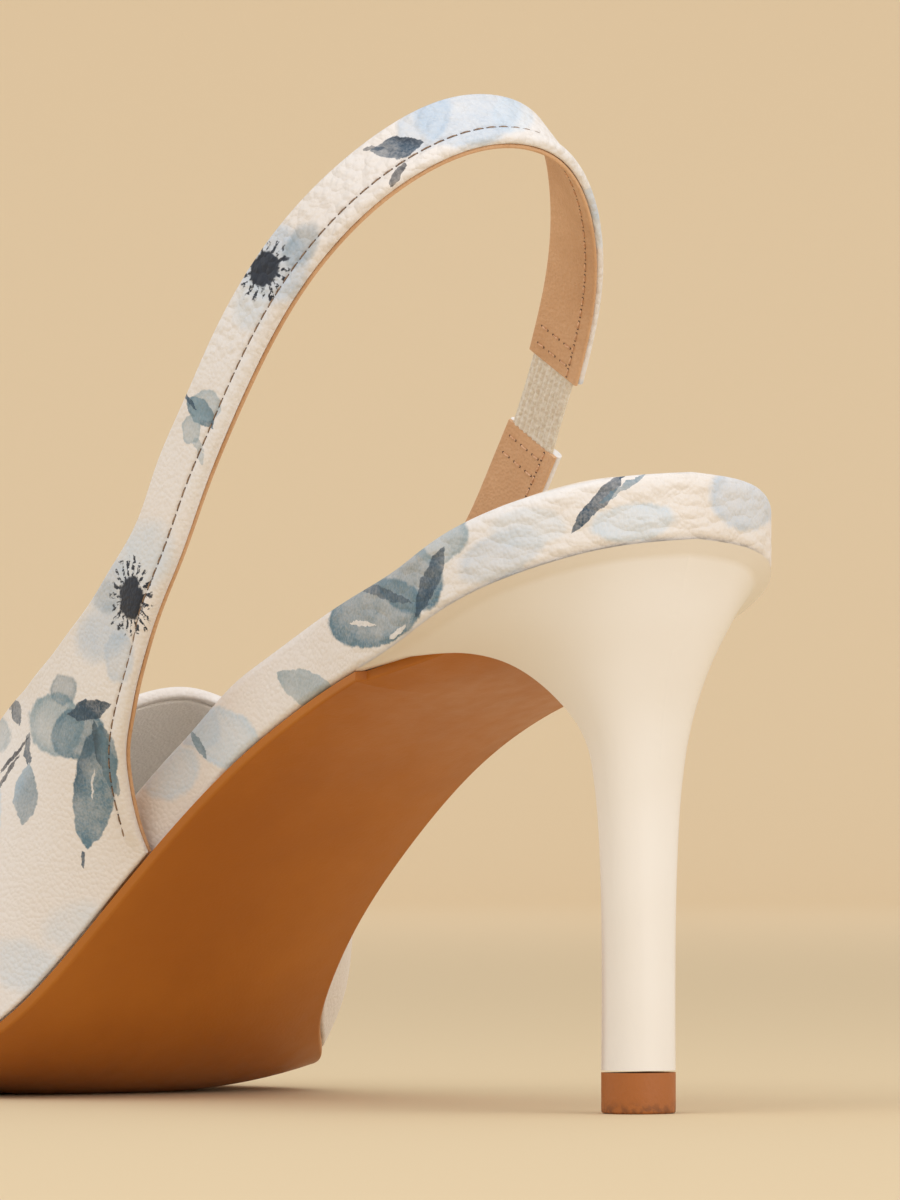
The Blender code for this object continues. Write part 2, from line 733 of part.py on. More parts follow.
def build_heel_tip():
    """Flat wearing piece below the heel, with its lower edge worn round."""
    foot = np.array(HEEL[0])
    half = [(x, y) for line in heel_ring(foot, 1) for x, y, _ in line]
    loop = half + [(x, -y) for x, y in half[-2:0:-1]]
    centre = (half[0][0] + half[-1][0]) / 2.0
    reach = (half[-1][0] - half[0][0]) / 2.0
    shrink = 1.0 - TIP_CHAMFER * 0.75 / reach
    vertices = []
    faces = []
    rings = []
    for height, scale in ((0.0, shrink), (TIP_CHAMFER, 1.0), (TIP_THICK, 1.0)):
        rings.append(list(range(len(vertices), len(vertices) + len(loop))))
        vertices.extend((centre + (x - centre) * scale, y * scale, height) for x, y in loop)
    for low, high in zip(rings[:-1], rings[1:]):
        join_rings(faces, low, high)
    faces.append(tuple(rings[0]))
    faces.append(tuple(rings[-1]))
    return make_object("heel_tip", vertices, faces, (0.42, 0.19, 0.05), 0.45)


def place(length, outward, rise):
    x = float(x_at(length))
    return np.array((x, BALL_WIDTH * outward, joint_height(x) + STRAP_RISE * rise))


def ribbon(table):
    """Rear and front edges of a flat strap, from its middle line."""
    middle = np.array([place(*row[:3]) for row in table])
    along = unit(np.gradient(middle, axis=0))
    lean = np.array((math.cos(STRAP_LEAN), 0.0, math.sin(STRAP_LEAN)))
    rear = []
    front = []
    for centre, tangent, row in zip(middle, along, table):
        across = unit(lean - tangent * np.dot(lean, tangent))
        turn = math.radians(row[3])
        across = across * math.cos(turn) - np.cross(tangent, across) * math.sin(turn)
        rear.append(centre - across * STRAP_WIDTH / 2.0)
        front.append(centre + across * STRAP_WIDTH / 2.0)
    return np.array(rear), np.array(front)


def ridge_distance(x, y):
    """How far a point lies from the vamp's ridge, as a share of the way to the edge."""
    ridge = -BALL_WIDTH * table_at(RIDGE, 2, x)
    side = 1 if y > ridge else -1
    wide = half_width(x, side) - side * ridge
    return min(0.9, abs(y - ridge) / max(wide, CLEAR))


def vamp_height(x, across):
    """Top of the vamp as a last shapes it; across is 0 on the ridge, 1 at the edge."""
    toe = np.clip((share_at(x) - TOE_START) / (1.0 - TOE_START), 0.0, 1.0)
    dome = (1.0 - across ** VAMP_POWER) ** (1.0 / VAMP_POWER)
    tip = (1.0 - toe ** TOE_POWER) ** (1.0 / TOE_POWER)
    return above_joint(x, CLEAR / 2.0) + INSTEP_RISE * table_at(RIDGE, 1, x) * dome * tip


def vamp_column(foot, head, shares, gone):
    """Points up the vamp from the sole's edge to the topline."""
    steps = np.linspace(0.0, 1.0, COLUMN_SAMPLES)
    reach = steps ** VAMP_TUCK
    x = foot[0] + (head[0] - foot[0]) * reach
    y = foot[1] + (head[1] - foot[1]) * reach
    climb = reach ** (1.0 - TOE_RUSH * gone)
    z = vamp_height(x, 1.0 - climb * (1.0 - ridge_distance(head[0], head[1])))
    z[0] = foot[2]
    z = z + (head[2] - z[-1]) * reach ** 1.5
    line = np.column_stack((x, y, z))
    length = run_length(line)
    return np.column_stack([np.interp(shares * length[-1], length, line[:, i]) for i in range(3)])


def wing_column(foot, head, shares):
    return foot[None, :] + (head - foot)[None, :] * shares[:, None]


def swell(shares, outward, amount):
    """Fullness of a column: it stands out between its foot and the topline."""
    bulge = np.sin(math.pi * shares ** SWELL_PLACE)
    return outward[None, :] * (WING_FULLNESS * amount * bulge)[:, None]


def sole_edge_point(x, side):
    """Foot of the upper on the sole's edge; side 0 is the toe's tip."""
    y = side * float(half_width(x, side)) if side else 0.0
    return np.array((x, y, float(above_joint(x, CLEAR / 2.0))))


def strap_columns(key, front, rear, fullness, start, side):
    """Columns of a strap and its wing, from one place on the topline to its end."""
    keys = key[start:start + len(rear)]
    count = int(round((keys[-1] - keys[0]) / STRAP_STEP))
    wanted = np.linspace(keys[0], keys[-1], count + 1)
    feet = smooth_curve(keys, rear, wanted)
    heads = smooth_curve(key, front, wanted)
    amounts = np.interp(wanted, keys, fullness)
    shares = np.linspace(0.0, 1.0, UPPER_ROWS + 1)
    outward = np.array((0.0, float(side), 0.0))
    columns = []
    for foot, head, amount in zip(feet, heads, amounts):
        columns.append(wing_column(foot, head, shares) + swell(shares, outward, amount))
    return columns


def vamp_columns(key, front, start, end):
    """Columns of the vamp, from the outer wing's corner round the toe to the inner."""
    feet = [sole_edge_point(float(x_at(s)), 1) for s in (OUTER_WING[-1][0],) + VAMP_STATIONS]
    toe = len(feet)
    feet.append(sole_edge_point(float(x_at(1.0)), 0))
    for s in ((INNER_WING[0][0],) + VAMP_STATIONS)[::-1]:
        feet.append(sole_edge_point(float(x_at(s)), -1))
    feet = np.array(feet)
    run = run_length(feet)
    tangent = unit(np.gradient(feet[:, :2], axis=0))
    columns = []
    for i, foot in enumerate(feet):
        side = 1 if i <= toe else -1
        reach = run[toe] if side > 0 else run[-1] - run[toe]
        gone = (run[i] if side > 0 else run[-1] - run[i]) / reach
        share = 0.5 * gone ** HEAD_SPREAD
        if side < 0:
            share = 1.0 - share
        wanted = key[start] + (key[end] - key[start]) * share
        head = smooth_curve(key, front, np.array([wanted]))[0]
        shares = np.linspace(0.0, 1.0, UPPER_ROWS + 1) ** (1.0 + TOE_CROWDING * gone)
        blend = ease(gone * reach / (VAMP_BLEND * SHOE_LENGTH))
        flat = wing_column(foot, head, shares)
        domed = vamp_column(foot, head, shares, gone)
        turn = ease(gone * 2.0)
        normal = np.array((-tangent[i, 1], tangent[i, 0], 0.0))
        outward = unit(np.array((0.0, float(side), 0.0)) * (1.0 - turn) + normal * turn)
        corner = OUTER_WING[-1][6] if side > 0 else INNER_WING[0][6]
        amount = corner * np.interp(gone, column(VAMP_SWELL, 0), column(VAMP_SWELL, 1))
        columns.append(flat * (1.0 - blend) + domed * blend + swell(shares, outward, amount))
    return columns


def relaxed(grid, first, last):
    """Evens out the face between its edges, from the wings to the ball."""
    first = first - len(OUTER_WING)
    last = last + len(INNER_WING)
    part = grid[first:last + 1]
    start, end = RELAX_LENGTHS
    weight = 0.5 * (1.0 - ease((share_at(part[:, 0, 0]) - start) / (end - start)))
    weight = weight[1:-1, None, None]
    for _ in range(RELAX_PASSES):
        around = part[:-2, 1:-1] + part[2:, 1:-1] + part[1:-1, :-2] + part[1:-1, 2:]
        part[1:-1, 1:-1] += weight * (around / 4.0 - part[1:-1, 1:-1])
    return grid


def overhang(grid, toe):
    """The vamp's inner side stands out over the sole's edge, most behind the ball."""
    start, full, end = OVERHANG_REACH
    for line in grid[toe:]:
        share = share_at(line[0, 0])
        amount = ease((share - start) / (full - start)) * (1.0 - ease((share - full) / (end - full)))
        run = run_length(line)
        bulge = np.sin(math.pi * (run / run[-1]) ** OVERHANG_PLACE)
        line[:, 1] -= INNER_OVERHANG * amount * bulge
    return grid


def wall_direction(outer):
    """Direction out of the wall at every point, evened out along the edges."""
    normal = unit(np.cross(np.gradient(outer, axis=0), np.gradient(outer, axis=1)))
    for _ in range(WALL_PASSES):
        normal[1:-1] = unit(normal[:-2] + 2.0 * normal[1:-1] + normal[2:])
    return normal


def upper_face():
    """The upper's outer face as columns, from the elastic round to the elastic.

    Also gives the first and the last column that stand on the sole.
    """
    strap_rear, strap_front = ribbon(STRAP)
    stub_rear, stub_front = ribbon(STUB)
    outer_rear = np.array([place(*row[0:3]) for row in OUTER_WING])
    outer_front = np.array([place(*row[3:6]) for row in OUTER_WING])
    inner_rear = np.array([place(*row[0:3]) for row in INNER_WING])
    inner_front = np.array([place(*row[3:6]) for row in INNER_WING])
    outer_rear[-1] = sole_edge_point(outer_rear[-1][0], 1)
    inner_rear[0] = sole_edge_point(inner_rear[0][0], -1)
    throat = np.array([place(*row) for row in THROAT])
    front = np.vstack((strap_front, outer_front, throat, inner_front, stub_front))
    key = run_length(front)
    start = len(STRAP) + len(OUTER_WING) - 1
    end = start + len(THROAT) + 1
    outer_full = np.concatenate((np.zeros(len(STRAP)), column(OUTER_WING, 6)))
    inner_full = np.concatenate((column(INNER_WING, 6), np.zeros(len(STUB))))
    outer_edge = np.vstack((strap_rear, outer_rear))
    inner_edge = np.vstack((inner_rear, stub_rear))
    first = strap_columns(key, front, outer_edge, outer_full, 0, 1)[:-1]
    middle = vamp_columns(key, front, start, end)
    last = strap_columns(key, front, inner_edge, inner_full, end, -1)[1:]
    grid = np.array(first + middle + last)
    first_foot = len(first)
    last_foot = first_foot + len(middle) - 1
    toe = (first_foot + last_foot) // 2
    return overhang(relaxed(grid, first_foot, last_foot), toe), first_foot, last_foot


def build_upper():
    """Hollow upper: the outer face, the lining a wall further in, and their rims."""
    outer, first_foot, last_foot = upper_face()
    normal = wall_direction(outer)
    if normal[first_foot, UPPER_ROWS // 2, 1] < 0.0:
        normal = -normal
    inner = outer - normal * WALL
    for i in range(first_foot, last_foot + 1):
        inner[i, 0, 2] = above_joint(inner[i, 0, 0], CLEAR / 2.0)
    count, rows = outer.shape[:2]
    vertices = [tuple(v) for v in outer.reshape(-1, 3)]
    vertices += [tuple(v) for v in inner.reshape(-1, 3)]
    outside = np.arange(count * rows).reshape(count, rows)
    inside = outside + count * rows
    faces = []
    for face in (outside, inside):
        join_grid(faces, face.tolist())
    for rim in ((outside[:, 0], inside[:, 0]), (outside[:, -1], inside[:, -1]),
                (outside[0], inside[0]), (outside[-1], inside[-1])):
        join_grid(faces, (rim[0].tolist(), rim[1].tolist()))
    make_object("upper", vertices, faces, (0.82, 0.76, 0.71), 0.55)
    return outer, inner


def strap_end(outer, inner, end, following):
    """Where the elastic meets a strap: middle, direction across, and the wall's."""
    low = (outer[end, 0] + inner[end, 0]) / 2.0
    high = (outer[end, -1] + inner[end, -1]) / 2.0
    before = (outer[following, 0] + inner[following, -1]) / 2.0
    centre = (low + high) / 2.0
    away = unit((outer[end, 0] + inner[end, -1]) / 2.0 - before)
    return centre + away * CLEAR * 1.6, unit(high - low)


def build_elastic(outer, inner):
    """Webbing between the ends of the two straps."""
    start, start_across = strap_end(outer, inner, 0, 1)
    stop, stop_across = strap_end(outer, inner, -1, -2)
    along = unit(stop - start)
    vertices = []
    faces = []
    rings = []
    for share in np.linspace(0.0, 1.0, ELASTIC_STEPS + 1):
        centre = start * (1.0 - share) + stop * share
        across = start_across * (1.0 - share) + stop_across * share
        across = unit(across - along * np.dot(across, along))
        thick = np.cross(along, across)
        rings.append(list(range(len(vertices), len(vertices) + 4)))
        for a, b in ((-1, -1), (1, -1), (1, 1), (-1, 1)):
            point = centre + across * a * ELASTIC_WIDTH / 2.0 + thick * b * ELASTIC_THICK / 2.0
            vertices.append(tuple(point))
    for low, high in zip(rings[:-1], rings[1:]):
        join_rings(faces, low, high)
    faces.append(tuple(rings[0]))
    faces.append(tuple(rings[-1]))
    return make_object("elastic", vertices, faces, (0.68, 0.60, 0.50), 0.9)


clear_scene()
build_heel_tip()
build_heel()
build_outsole()
build_footbed()
build_insole()
upper_outer, upper_inner = build_upper()
build_elastic(upper_outer, upper_inner)
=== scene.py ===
"""Looks of the slingback court shoe: detailed pieces, materials, light and camera.

Each piece is built again from the sizes of its solid, only finer, and rides on the
one body. +X runs to the toe, +Y to the outer side of the left foot, +Z up.
"""

import math

import bpy
import bmesh
import numpy as np
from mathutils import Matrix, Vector


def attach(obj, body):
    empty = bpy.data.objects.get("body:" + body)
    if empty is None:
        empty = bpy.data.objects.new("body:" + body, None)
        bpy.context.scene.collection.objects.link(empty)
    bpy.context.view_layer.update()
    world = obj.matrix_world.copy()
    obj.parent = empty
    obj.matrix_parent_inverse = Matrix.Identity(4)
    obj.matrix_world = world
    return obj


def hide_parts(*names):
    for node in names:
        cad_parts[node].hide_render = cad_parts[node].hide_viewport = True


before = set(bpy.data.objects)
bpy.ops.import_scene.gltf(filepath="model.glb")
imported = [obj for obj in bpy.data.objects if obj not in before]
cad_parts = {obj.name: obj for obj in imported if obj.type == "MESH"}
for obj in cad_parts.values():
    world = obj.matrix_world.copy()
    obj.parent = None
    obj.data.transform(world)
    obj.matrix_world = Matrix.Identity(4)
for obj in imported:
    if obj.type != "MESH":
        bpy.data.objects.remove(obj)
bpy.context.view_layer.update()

# Driving sizes, in metres.
SHOE_LENGTH = 0.233        # back of the heel seat to the toe's tip, measured level
BACK_X = -0.0130           # the seat's back, behind the middle of the heel tip
BALL_WIDTH = 0.078         # widest part of the sole
SEAT_HEIGHT = 0.0796       # top of the heel at its back, above the floor
TOE_SPRING = 0.009         # lift of the sole's top at the toe
SOLE_BALL = 0.0054         # outsole at the ball, in the middle of its width
SOLE_EDGE = 0.0014         # outsole at its edge
SOLE_FLAT = 0.0004         # how far the ball of the sole is worn flat
BAND = 0.0103              # leather band round the footbed, square to its slope
BAND_TOP_RADIUS = 0.0024
BAND_FOOT_RADIUS = 0.0010
BED_DISH = 0.0012          # how far the footbed's middle lies below its rim
SOCK = 0.0014              # padded sock on the footbed
SOCK_MARGIN = 0.0026       # strip of the footbed left bare round the sock
WALL = 0.0018              # leather and lining of the upper together
STRAP_WIDTH = 0.0108
STRAP_RISE = 0.080         # unit for the heights of the straps and the topline
STRAP_LEAN = math.radians(45)
WING_FULLNESS = 0.0050     # how far the wings swell outwards between sole and topline
INNER_OVERHANG = 0.0045    # how far the vamp's inner side stands out over the sole's edge
INSTEP_RISE = 0.0556       # ridge of the vamp above the sole, at the throat
ELASTIC_WIDTH = 0.0088
ELASTIC_THICK = 0.0012
SEAT_WIDTH = 0.0528        # heel seat at its widest
WING_LENGTH = 0.0485       # heel seat, back to the ends of its two forward wings
WING_TIP = 0.0014          # thickness of the ends of those wings
STEM_CORNER = 0.0008       # rounding of the stem's front corners
TIP_THICK = 0.0057         # heel's top piece, the part that wears
TIP_CHAMFER = 0.0004       # its lower edge, worn round
CLEAR = 0.0003             # gap between pieces that are glued together

# How finely the surfaces are divided.
OUTLINE_STATIONS = 150
BED_ACROSS = 22
SOLE_ACROSS = 26
UPPER_ROWS = 10
STRAP_STEP = 0.0040
HEEL_RINGS = 16
HEEL_SIDE = 36
ELASTIC_STEPS = 30
OUTLINE_SAMPLES = 1600
COLUMN_SAMPLES = 240

# Shares that shape the pieces.
END_CROWDING = 0.63        # how much stations crowd towards rounded ends
SOCK_END = 0.90            # length where the sock stops, inside the toe
SOCK_RIM = 0.55            # thickness of the sock at its edge
DISH_POWER = 2.5           # how squarely the footbed's dish turns up to its rim
CROWN_POWER = 2.6          # the same for the outsole's rounded underside
VAMP_POWER = 2.2           # roundness of the vamp's cross-section
VAMP_TUCK = 2.0            # how steeply the vamp leaves the sole's edge
TOE_START = 0.88           # length where the vamp starts to round down to the toe
TOE_POWER = 2.3
TOE_RUSH = 0.5             # how much sooner the vamp climbs at the toe than at the sides
VAMP_BLEND = 0.24          # length along which the flat wings pass into the vamp
HEAD_SPREAD = 0.92         # how the vamp's columns spread along the throat
TOE_CROWDING = 0.5         # how much rows crowd towards the sole at the toe
SWELL_PLACE = 0.75         # below one, the swell is fullest below mid height
OVERHANG_REACH = (0.43, 0.54, 0.74)  # lengths where the overhang starts, is fullest, ends
OVERHANG_PLACE = 0.5       # below one, it is fullest below mid height
RELAX_PASSES = 40          # how long the upper's face is evened out round the wings
RELAX_LENGTHS = (0.54, 0.74)  # the evening fades out between these lengths
WALL_PASSES = 8            # how long the wall's direction is evened out
BED_SLIP = (0.075, 0.012)  # lengths behind the wing's corner where the bed narrows
BREAST_MIDDLE = 0.412      # middle of the breast at the seat, share of the wings
BREAST_POWER = 4.0         # how squarely the breast turns into the wings
STEM_POWER = 2.0           # the same at the stem
HEEL_TURN = 0.6            # where a side of the heel is widest
HEEL_POWER = 2.2           # roundness of the heel's back

# Outline of the footbed and the sole: share of the length from the back, then the
# outer and the inner half width as shares of the ball's width.
OUTLINE = (
    # length, outer, inner
    (0.000, 0.000, 0.000), (0.015, 0.177, 0.172), (0.040, 0.270, 0.263),
    (0.070, 0.323, 0.315), (0.100, 0.340, 0.336), (0.150, 0.329, 0.340),
    (0.200, 0.300, 0.322), (0.250, 0.274, 0.302), (0.300, 0.263, 0.291),
    (0.350, 0.276, 0.280), (0.400, 0.314, 0.258), (0.450, 0.370, 0.240),
    (0.500, 0.433, 0.276), (0.550, 0.485, 0.384), (0.600, 0.506, 0.460),
    (0.650, 0.504, 0.488), (0.700, 0.483, 0.469), (0.760, 0.437, 0.410),
    (0.820, 0.372, 0.335), (0.880, 0.292, 0.250), (0.930, 0.213, 0.176),
    (0.965, 0.146, 0.118), (0.985, 0.095, 0.077), (1.000, 0.000, 0.000),
)

# Side view of the joint between footbed and sole: share of the length, rise as a
# share of the seat's height above the ball, and lift as a share of the toe spring.
PROFILE = (
    # length, rise, spring
    (0.00, 1.000, 0.000), (0.04, 0.946, 0.000), (0.10, 0.871, 0.000),
    (0.15, 0.811, 0.000), (0.20, 0.768, 0.000), (0.25, 0.726, 0.000),
    (0.30, 0.667, 0.000), (0.35, 0.580, 0.000), (0.40, 0.449, 0.000),
    (0.45, 0.283, 0.000), (0.50, 0.120, 0.000), (0.55, 0.028, 0.000),
    (0.60, 0.002, 0.000), (0.65, 0.000, 0.000), (0.70, 0.000, 0.000),
    (0.76, 0.000, 0.045), (0.82, 0.000, 0.155), (0.88, 0.000, 0.355),
    (0.93, 0.000, 0.580), (1.00, 0.000, 1.000),
)

# Thickness along the shoe, of the footbed as a share of the band and of the
# outsole's middle as a share of its thickness at the ball.
THICKNESS = (
    # length, footbed, outsole
    (0.00, 0.86, 0.56), (0.04, 0.92, 0.56), (0.09, 0.97, 0.56),
    (0.15, 1.02, 0.56), (0.22, 1.05, 0.56), (0.30, 1.00, 0.56),
    (0.38, 0.97, 0.56), (0.43, 0.95, 0.57), (0.48, 0.85, 0.62),
    (0.53, 0.62, 0.76), (0.58, 0.43, 0.93), (0.64, 0.33, 1.00),
    (0.72, 0.29, 1.00), (0.82, 0.28, 0.88), (0.90, 0.28, 0.74),
    (1.00, 0.28, 0.60),
)

# Ridge of the vamp: share of the length, height above the sole as a share of the
# instep's rise, and how far the ridge lies to the inner side, share of the ball.
RIDGE = (
    # length, rise, inward
    (0.40, 1.30, 0.090), (0.50, 1.13, 0.110), (0.60, 1.00, 0.110),
    (0.66, 0.87, 0.085), (0.73, 0.71, 0.055), (0.80, 0.56, 0.030),
    (0.88, 0.42, 0.010), (0.94, 0.32, 0.000), (1.00, 0.24, 0.000),
)

# Middle line of the long strap, from the elastic on the inner side over the heel
# to the outer side. Twist turns the strap about its own line.
STRAP = (
    # length, outward, rise, twist in degrees
    (0.285, -0.349, 0.634, -13.0),
    (0.253, -0.313, 0.726, -13.5),
    (0.211, -0.221, 0.850, -9.5),
    (0.181, -0.078, 0.940, -3.0),
    (0.178, 0.099, 0.951, -4.5),
    (0.201, 0.266, 0.880, -8.5),
    (0.243, 0.371, 0.756, -5.0),
    (0.288, 0.408, 0.622, -1.0),
    (0.313, 0.416, 0.546, 0.0),
)

# Outer wing, from the strap down to its rear corner on the sole: the rear edge,
# the topline, and how much of the wing's fullness stands out between them.
OUTER_WING = (
    # rear edge: length, outward, rise; topline: length, outward, rise; fullness
    (0.318, 0.417, 0.402, 0.358, 0.423, 0.551, 0.10),
    (0.334, 0.426, 0.332, 0.369, 0.432, 0.499, 0.10),
    (0.348, 0.431, 0.292, 0.380, 0.436, 0.479, 0.10),
    (0.364, 0.433, 0.246, 0.400, 0.437, 0.478, 0.12),
    (0.379, 0.427, 0.210, 0.422, 0.435, 0.487, 0.16),
    (0.391, 0.415, 0.184, 0.450, 0.425, 0.525, 0.25),
    (0.402, 0.400, 0.162, 0.476, 0.410, 0.567, 0.42),
    (0.410, 0.375, 0.118, 0.502, 0.395, 0.603, 0.60),
    (0.413, 0.350, 0.060, 0.519, 0.381, 0.617, 0.80),
    (0.412, 0.328, 0.000, 0.536, 0.366, 0.627, 0.95),
)

# Topline across the throat, from the outer wing to the inner one.
THROAT = (
    # length, outward, rise
    (0.569, 0.333, 0.622),
    (0.592, 0.285, 0.618),
    (0.607, 0.205, 0.622),
    (0.611, 0.115, 0.637),
    (0.604, 0.020, 0.660),
    (0.594, -0.075, 0.690),
    (0.587, -0.160, 0.692),
    (0.580, -0.225, 0.668),
    (0.565, -0.285, 0.622),
)

# Inner wing, from its rear corner on the sole up to the short strap.
INNER_WING = (
    # rear edge: length, outward, rise; topline: length, outward, rise; fullness
    (0.414, -0.250, 0.000, 0.543, -0.331, 0.560, 1.15),
    (0.421, -0.302, 0.080, 0.515, -0.356, 0.524, 0.85),
    (0.423, -0.342, 0.169, 0.489, -0.372, 0.505, 0.52),
    (0.420, -0.366, 0.240, 0.466, -0.376, 0.503, 0.28),
    (0.410, -0.378, 0.294, 0.445, -0.372, 0.508, 0.16),
    (0.391, -0.378, 0.330, 0.424, -0.363, 0.500, 0.12),
)

# Middle line of the short strap, from the inner wing up to the elastic.
STUB = (
    # length, outward, rise, twist in degrees
    (0.384, -0.368, 0.426, -8.0),
    (0.362, -0.371, 0.448, -9.0),
    (0.340, -0.372, 0.489, -11.0),
    (0.316, -0.370, 0.546, -12.0),
)

# Where columns of the vamp start on the sole's edge, as shares of the length.
VAMP_STATIONS = (
    0.434, 0.455, 0.477, 0.500, 0.524, 0.550, 0.578, 0.608, 0.640, 0.673, 0.707, 0.741,
    0.775, 0.808, 0.839, 0.868, 0.894, 0.917, 0.937, 0.954, 0.968, 0.980, 0.990, 0.997,
)

# Swell of the vamp beyond the sole's edge, as a share of what the wings have.
VAMP_SWELL = (
    # place from the wing's corner to the toe, swell
    (0.00, 1.00),
    (0.12, 0.98),
    (0.28, 0.72),
    (0.45, 0.48),
    (0.65, 0.36),
    (0.85, 0.30),
    (1.00, 0.26),
)

# The heel in rings from its foot to its seat. Back and corner give the two ends of
# a side; lengths are shares of the seat's wings, heights of the seat's height and
# widths of half the seat's width. Middle is the breast's middle, and seat says how
# much the ring takes the seat's own outline.
HEEL = (
    # back, back height, corner, corner height, corner width, width, middle, seat
    (0.179, 0.0754, 0.338, 0.0754, 0.160, 0.197, 0.330, 0.00),
    (0.181, 0.2060, 0.330, 0.2060, 0.167, 0.194, 0.320, 0.00),
    (0.183, 0.3390, 0.322, 0.3390, 0.181, 0.198, 0.307, 0.00),
    (0.182, 0.4400, 0.318, 0.4400, 0.196, 0.207, 0.303, 0.00),
    (0.179, 0.5400, 0.318, 0.5340, 0.217, 0.226, 0.303, 0.00),
    (0.170, 0.6280, 0.322, 0.6160, 0.252, 0.262, 0.305, 0.03),
    (0.156, 0.7040, 0.336, 0.6720, 0.309, 0.322, 0.313, 0.10),
    (0.125, 0.7910, 0.390, 0.7320, 0.414, 0.444, 0.334, 0.25),
    (0.092, 0.8610, 0.474, 0.7830, 0.553, 0.604, 0.363, 0.45),
    (0.066, 0.9200, 0.598, 0.8030, 0.689, 0.762, 0.388, 0.70),
    (0.042, 0.9700, 0.784, 0.7980, 0.788, 0.898, 0.404, 0.90),
)
# Sizes that only the looks use, in metres.
LEATHER = 0.00105          # printed leather, folded round its edges
LINING_DEPTH = 0.00110     # the lining lies just inside the leather
LINING = 0.00065
LINING_REAR = 0.0          # lining's rear edge shows beside the fold
LINING_BACK = 0.0003       # lining set back from the topline
BEAD = 0.00075             # how much thicker the rolled topline is
BEAD_WIDTH = 0.0020
BEAD_START = (0.0125, 0.004)  # columns longer than this have it
HOLE = 0.00019             # half a needle hole
HOLE_LIFT = 0.00004
FOLD = 0.0029              # folded rim behind the stitch line
FOLD_PUFF = 0.00042
SEAM_PLACE = 0.0031        # stitch line, from the rear edge
SEAM_DEPTH = 0.00028
SEAM_WIDTH = 0.00034
LINING_SEAM = 0.0021       # stitch row on the lining, from the rear edge
PITCH = 0.0021             # from one stitch to the next
STITCH = 0.00125
THREAD = 0.00013           # half the thread's thickness
BOX_ROWS = (0.0012, 0.0041)  # rows sewn across the straps' ends
COLUMN_PARTS = 4           # fine columns to each column of the solid
UPPER_SPAN = 44            # rows between the folded rims
# Rows beside the rims, in millimetres from the rear and from the front edge.
REAR_ROWS = (0.0, 0.2, 0.5, 0.9, 1.3, 1.7, 2.1, 2.4, 2.65, 2.85, 3.05, 3.25, 3.45, 3.7, 4.1)
FRONT_ROWS = (1.8, 1.3, 0.9, 0.6, 0.3, 0.0)
LEVEL_PARTS = 5            # fine levels to each level of the heel
CORNER_STEPS = 7
RIB_COUNT = 9              # ribs of the elastic webbing
RIB_HEIGHT = 0.00012
LINING_CHANGE = (0.090, 0.094)  # the pale lining of the vamp starts here
LAP = 0.0015               # how far the webbing runs in between leather and lining
WAIST = 0.035              # share by which the webbing narrows halfway
WEFT = 0.10                # share by which its cross threads stand out
ROW_STITCH_PLACES = 9      # points that lay out a row across a strap's end
SCUFF_TOP = 0.0022         # the heel's tip is scuffed below this height
TONGUE_STATIONS = 10
TONGUE_CROWDING = 2.2      # how much they crowd towards the sole's back
SHARP = math.radians(40)   # edges sharper than this stay sharp
WELD = 1e-7
MM = 0.001

# The studio, in metres.
SHOE_MIDDLE = (0.09, 0.0, 0.05)
FLOOR_REACH = 3.5          # level floor on every side of the shoe
FLOOR_CURVE = 0.9
FLOOR_DROP = 0.00002       # the floor lies this much under the shoe
# Painted light: the floor's colour is painted lighter far from the shoe than near it.
FLOOR_PAINTED_LIGHT = (0.4, 3.0)    # it grows lighter between these distances
LAMP_COLOUR = (1.0, 0.985, 0.98)


def smooth_curve(keys, values, wanted):
    """Values of a smooth curve through the given rows (natural cubic spline)."""
    keys = np.asarray(keys, float)
    values = np.asarray(values, float)
    wanted = np.asarray(wanted, float)
    count = len(keys)
    step = np.diff(keys)
    system = np.zeros((count, count))
    right = np.zeros((count,) + values.shape[1:])
    system[0, 0] = 1.0
    system[-1, -1] = 1.0
    for i in range(1, count - 1):
        system[i, i - 1] = step[i - 1]
        system[i, i] = 2.0 * (step[i - 1] + step[i])
        system[i, i + 1] = step[i]
        after = (values[i + 1] - values[i]) / step[i]
        before = (values[i] - values[i - 1]) / step[i - 1]
        right[i] = 6.0 * (after - before)
    bend = np.linalg.solve(system, right)
    spot = np.clip(np.searchsorted(keys, wanted, side="right") - 1, 0, count - 2)
    width = step[spot]
    low = keys[spot + 1] - wanted
    high = wanted - keys[spot]
    if values.ndim > 1:
        width = width[:, None]
        low = low[:, None]
        high = high[:, None]
    cubic = bend[spot] * low ** 3 + bend[spot + 1] * high ** 3
    start = (values[spot] / width - bend[spot] * width / 6.0) * low
    end = (values[spot + 1] / width - bend[spot + 1] * width / 6.0) * high
    return cubic / (6.0 * width) + start + end


def column(table, index):
    return np.array([row[index] for row in table])


def ease(share):
    share = np.clip(share, 0.0, 1.0)
    return share * share * (3.0 - 2.0 * share)


def unit(vectors):
    length = np.linalg.norm(vectors, axis=-1, keepdims=True)
    return vectors / np.maximum(length, 1e-12)


def run_length(points):
    """Length along a line of points, from its first point to each of them."""
    steps = np.linalg.norm(np.diff(points, axis=0), axis=1)
    return np.concatenate(([0.0], np.cumsum(steps)))


def crowded(count):
    """Shares from 0 to 1, closer together towards both ends."""
    even = np.linspace(0.0, 1.0, count)
    rounded = (1.0 - np.cos(math.pi * even)) / 2.0
    return END_CROWDING * rounded + (1.0 - END_CROWDING) * even


def x_at(share):
    return BACK_X + SHOE_LENGTH * np.asarray(share, float)


def share_at(x):
    return np.clip((np.asarray(x, float) - BACK_X) / SHOE_LENGTH, 0.0, 1.0)


TABLE_SAMPLES = 6001
TABLES_READ = {}


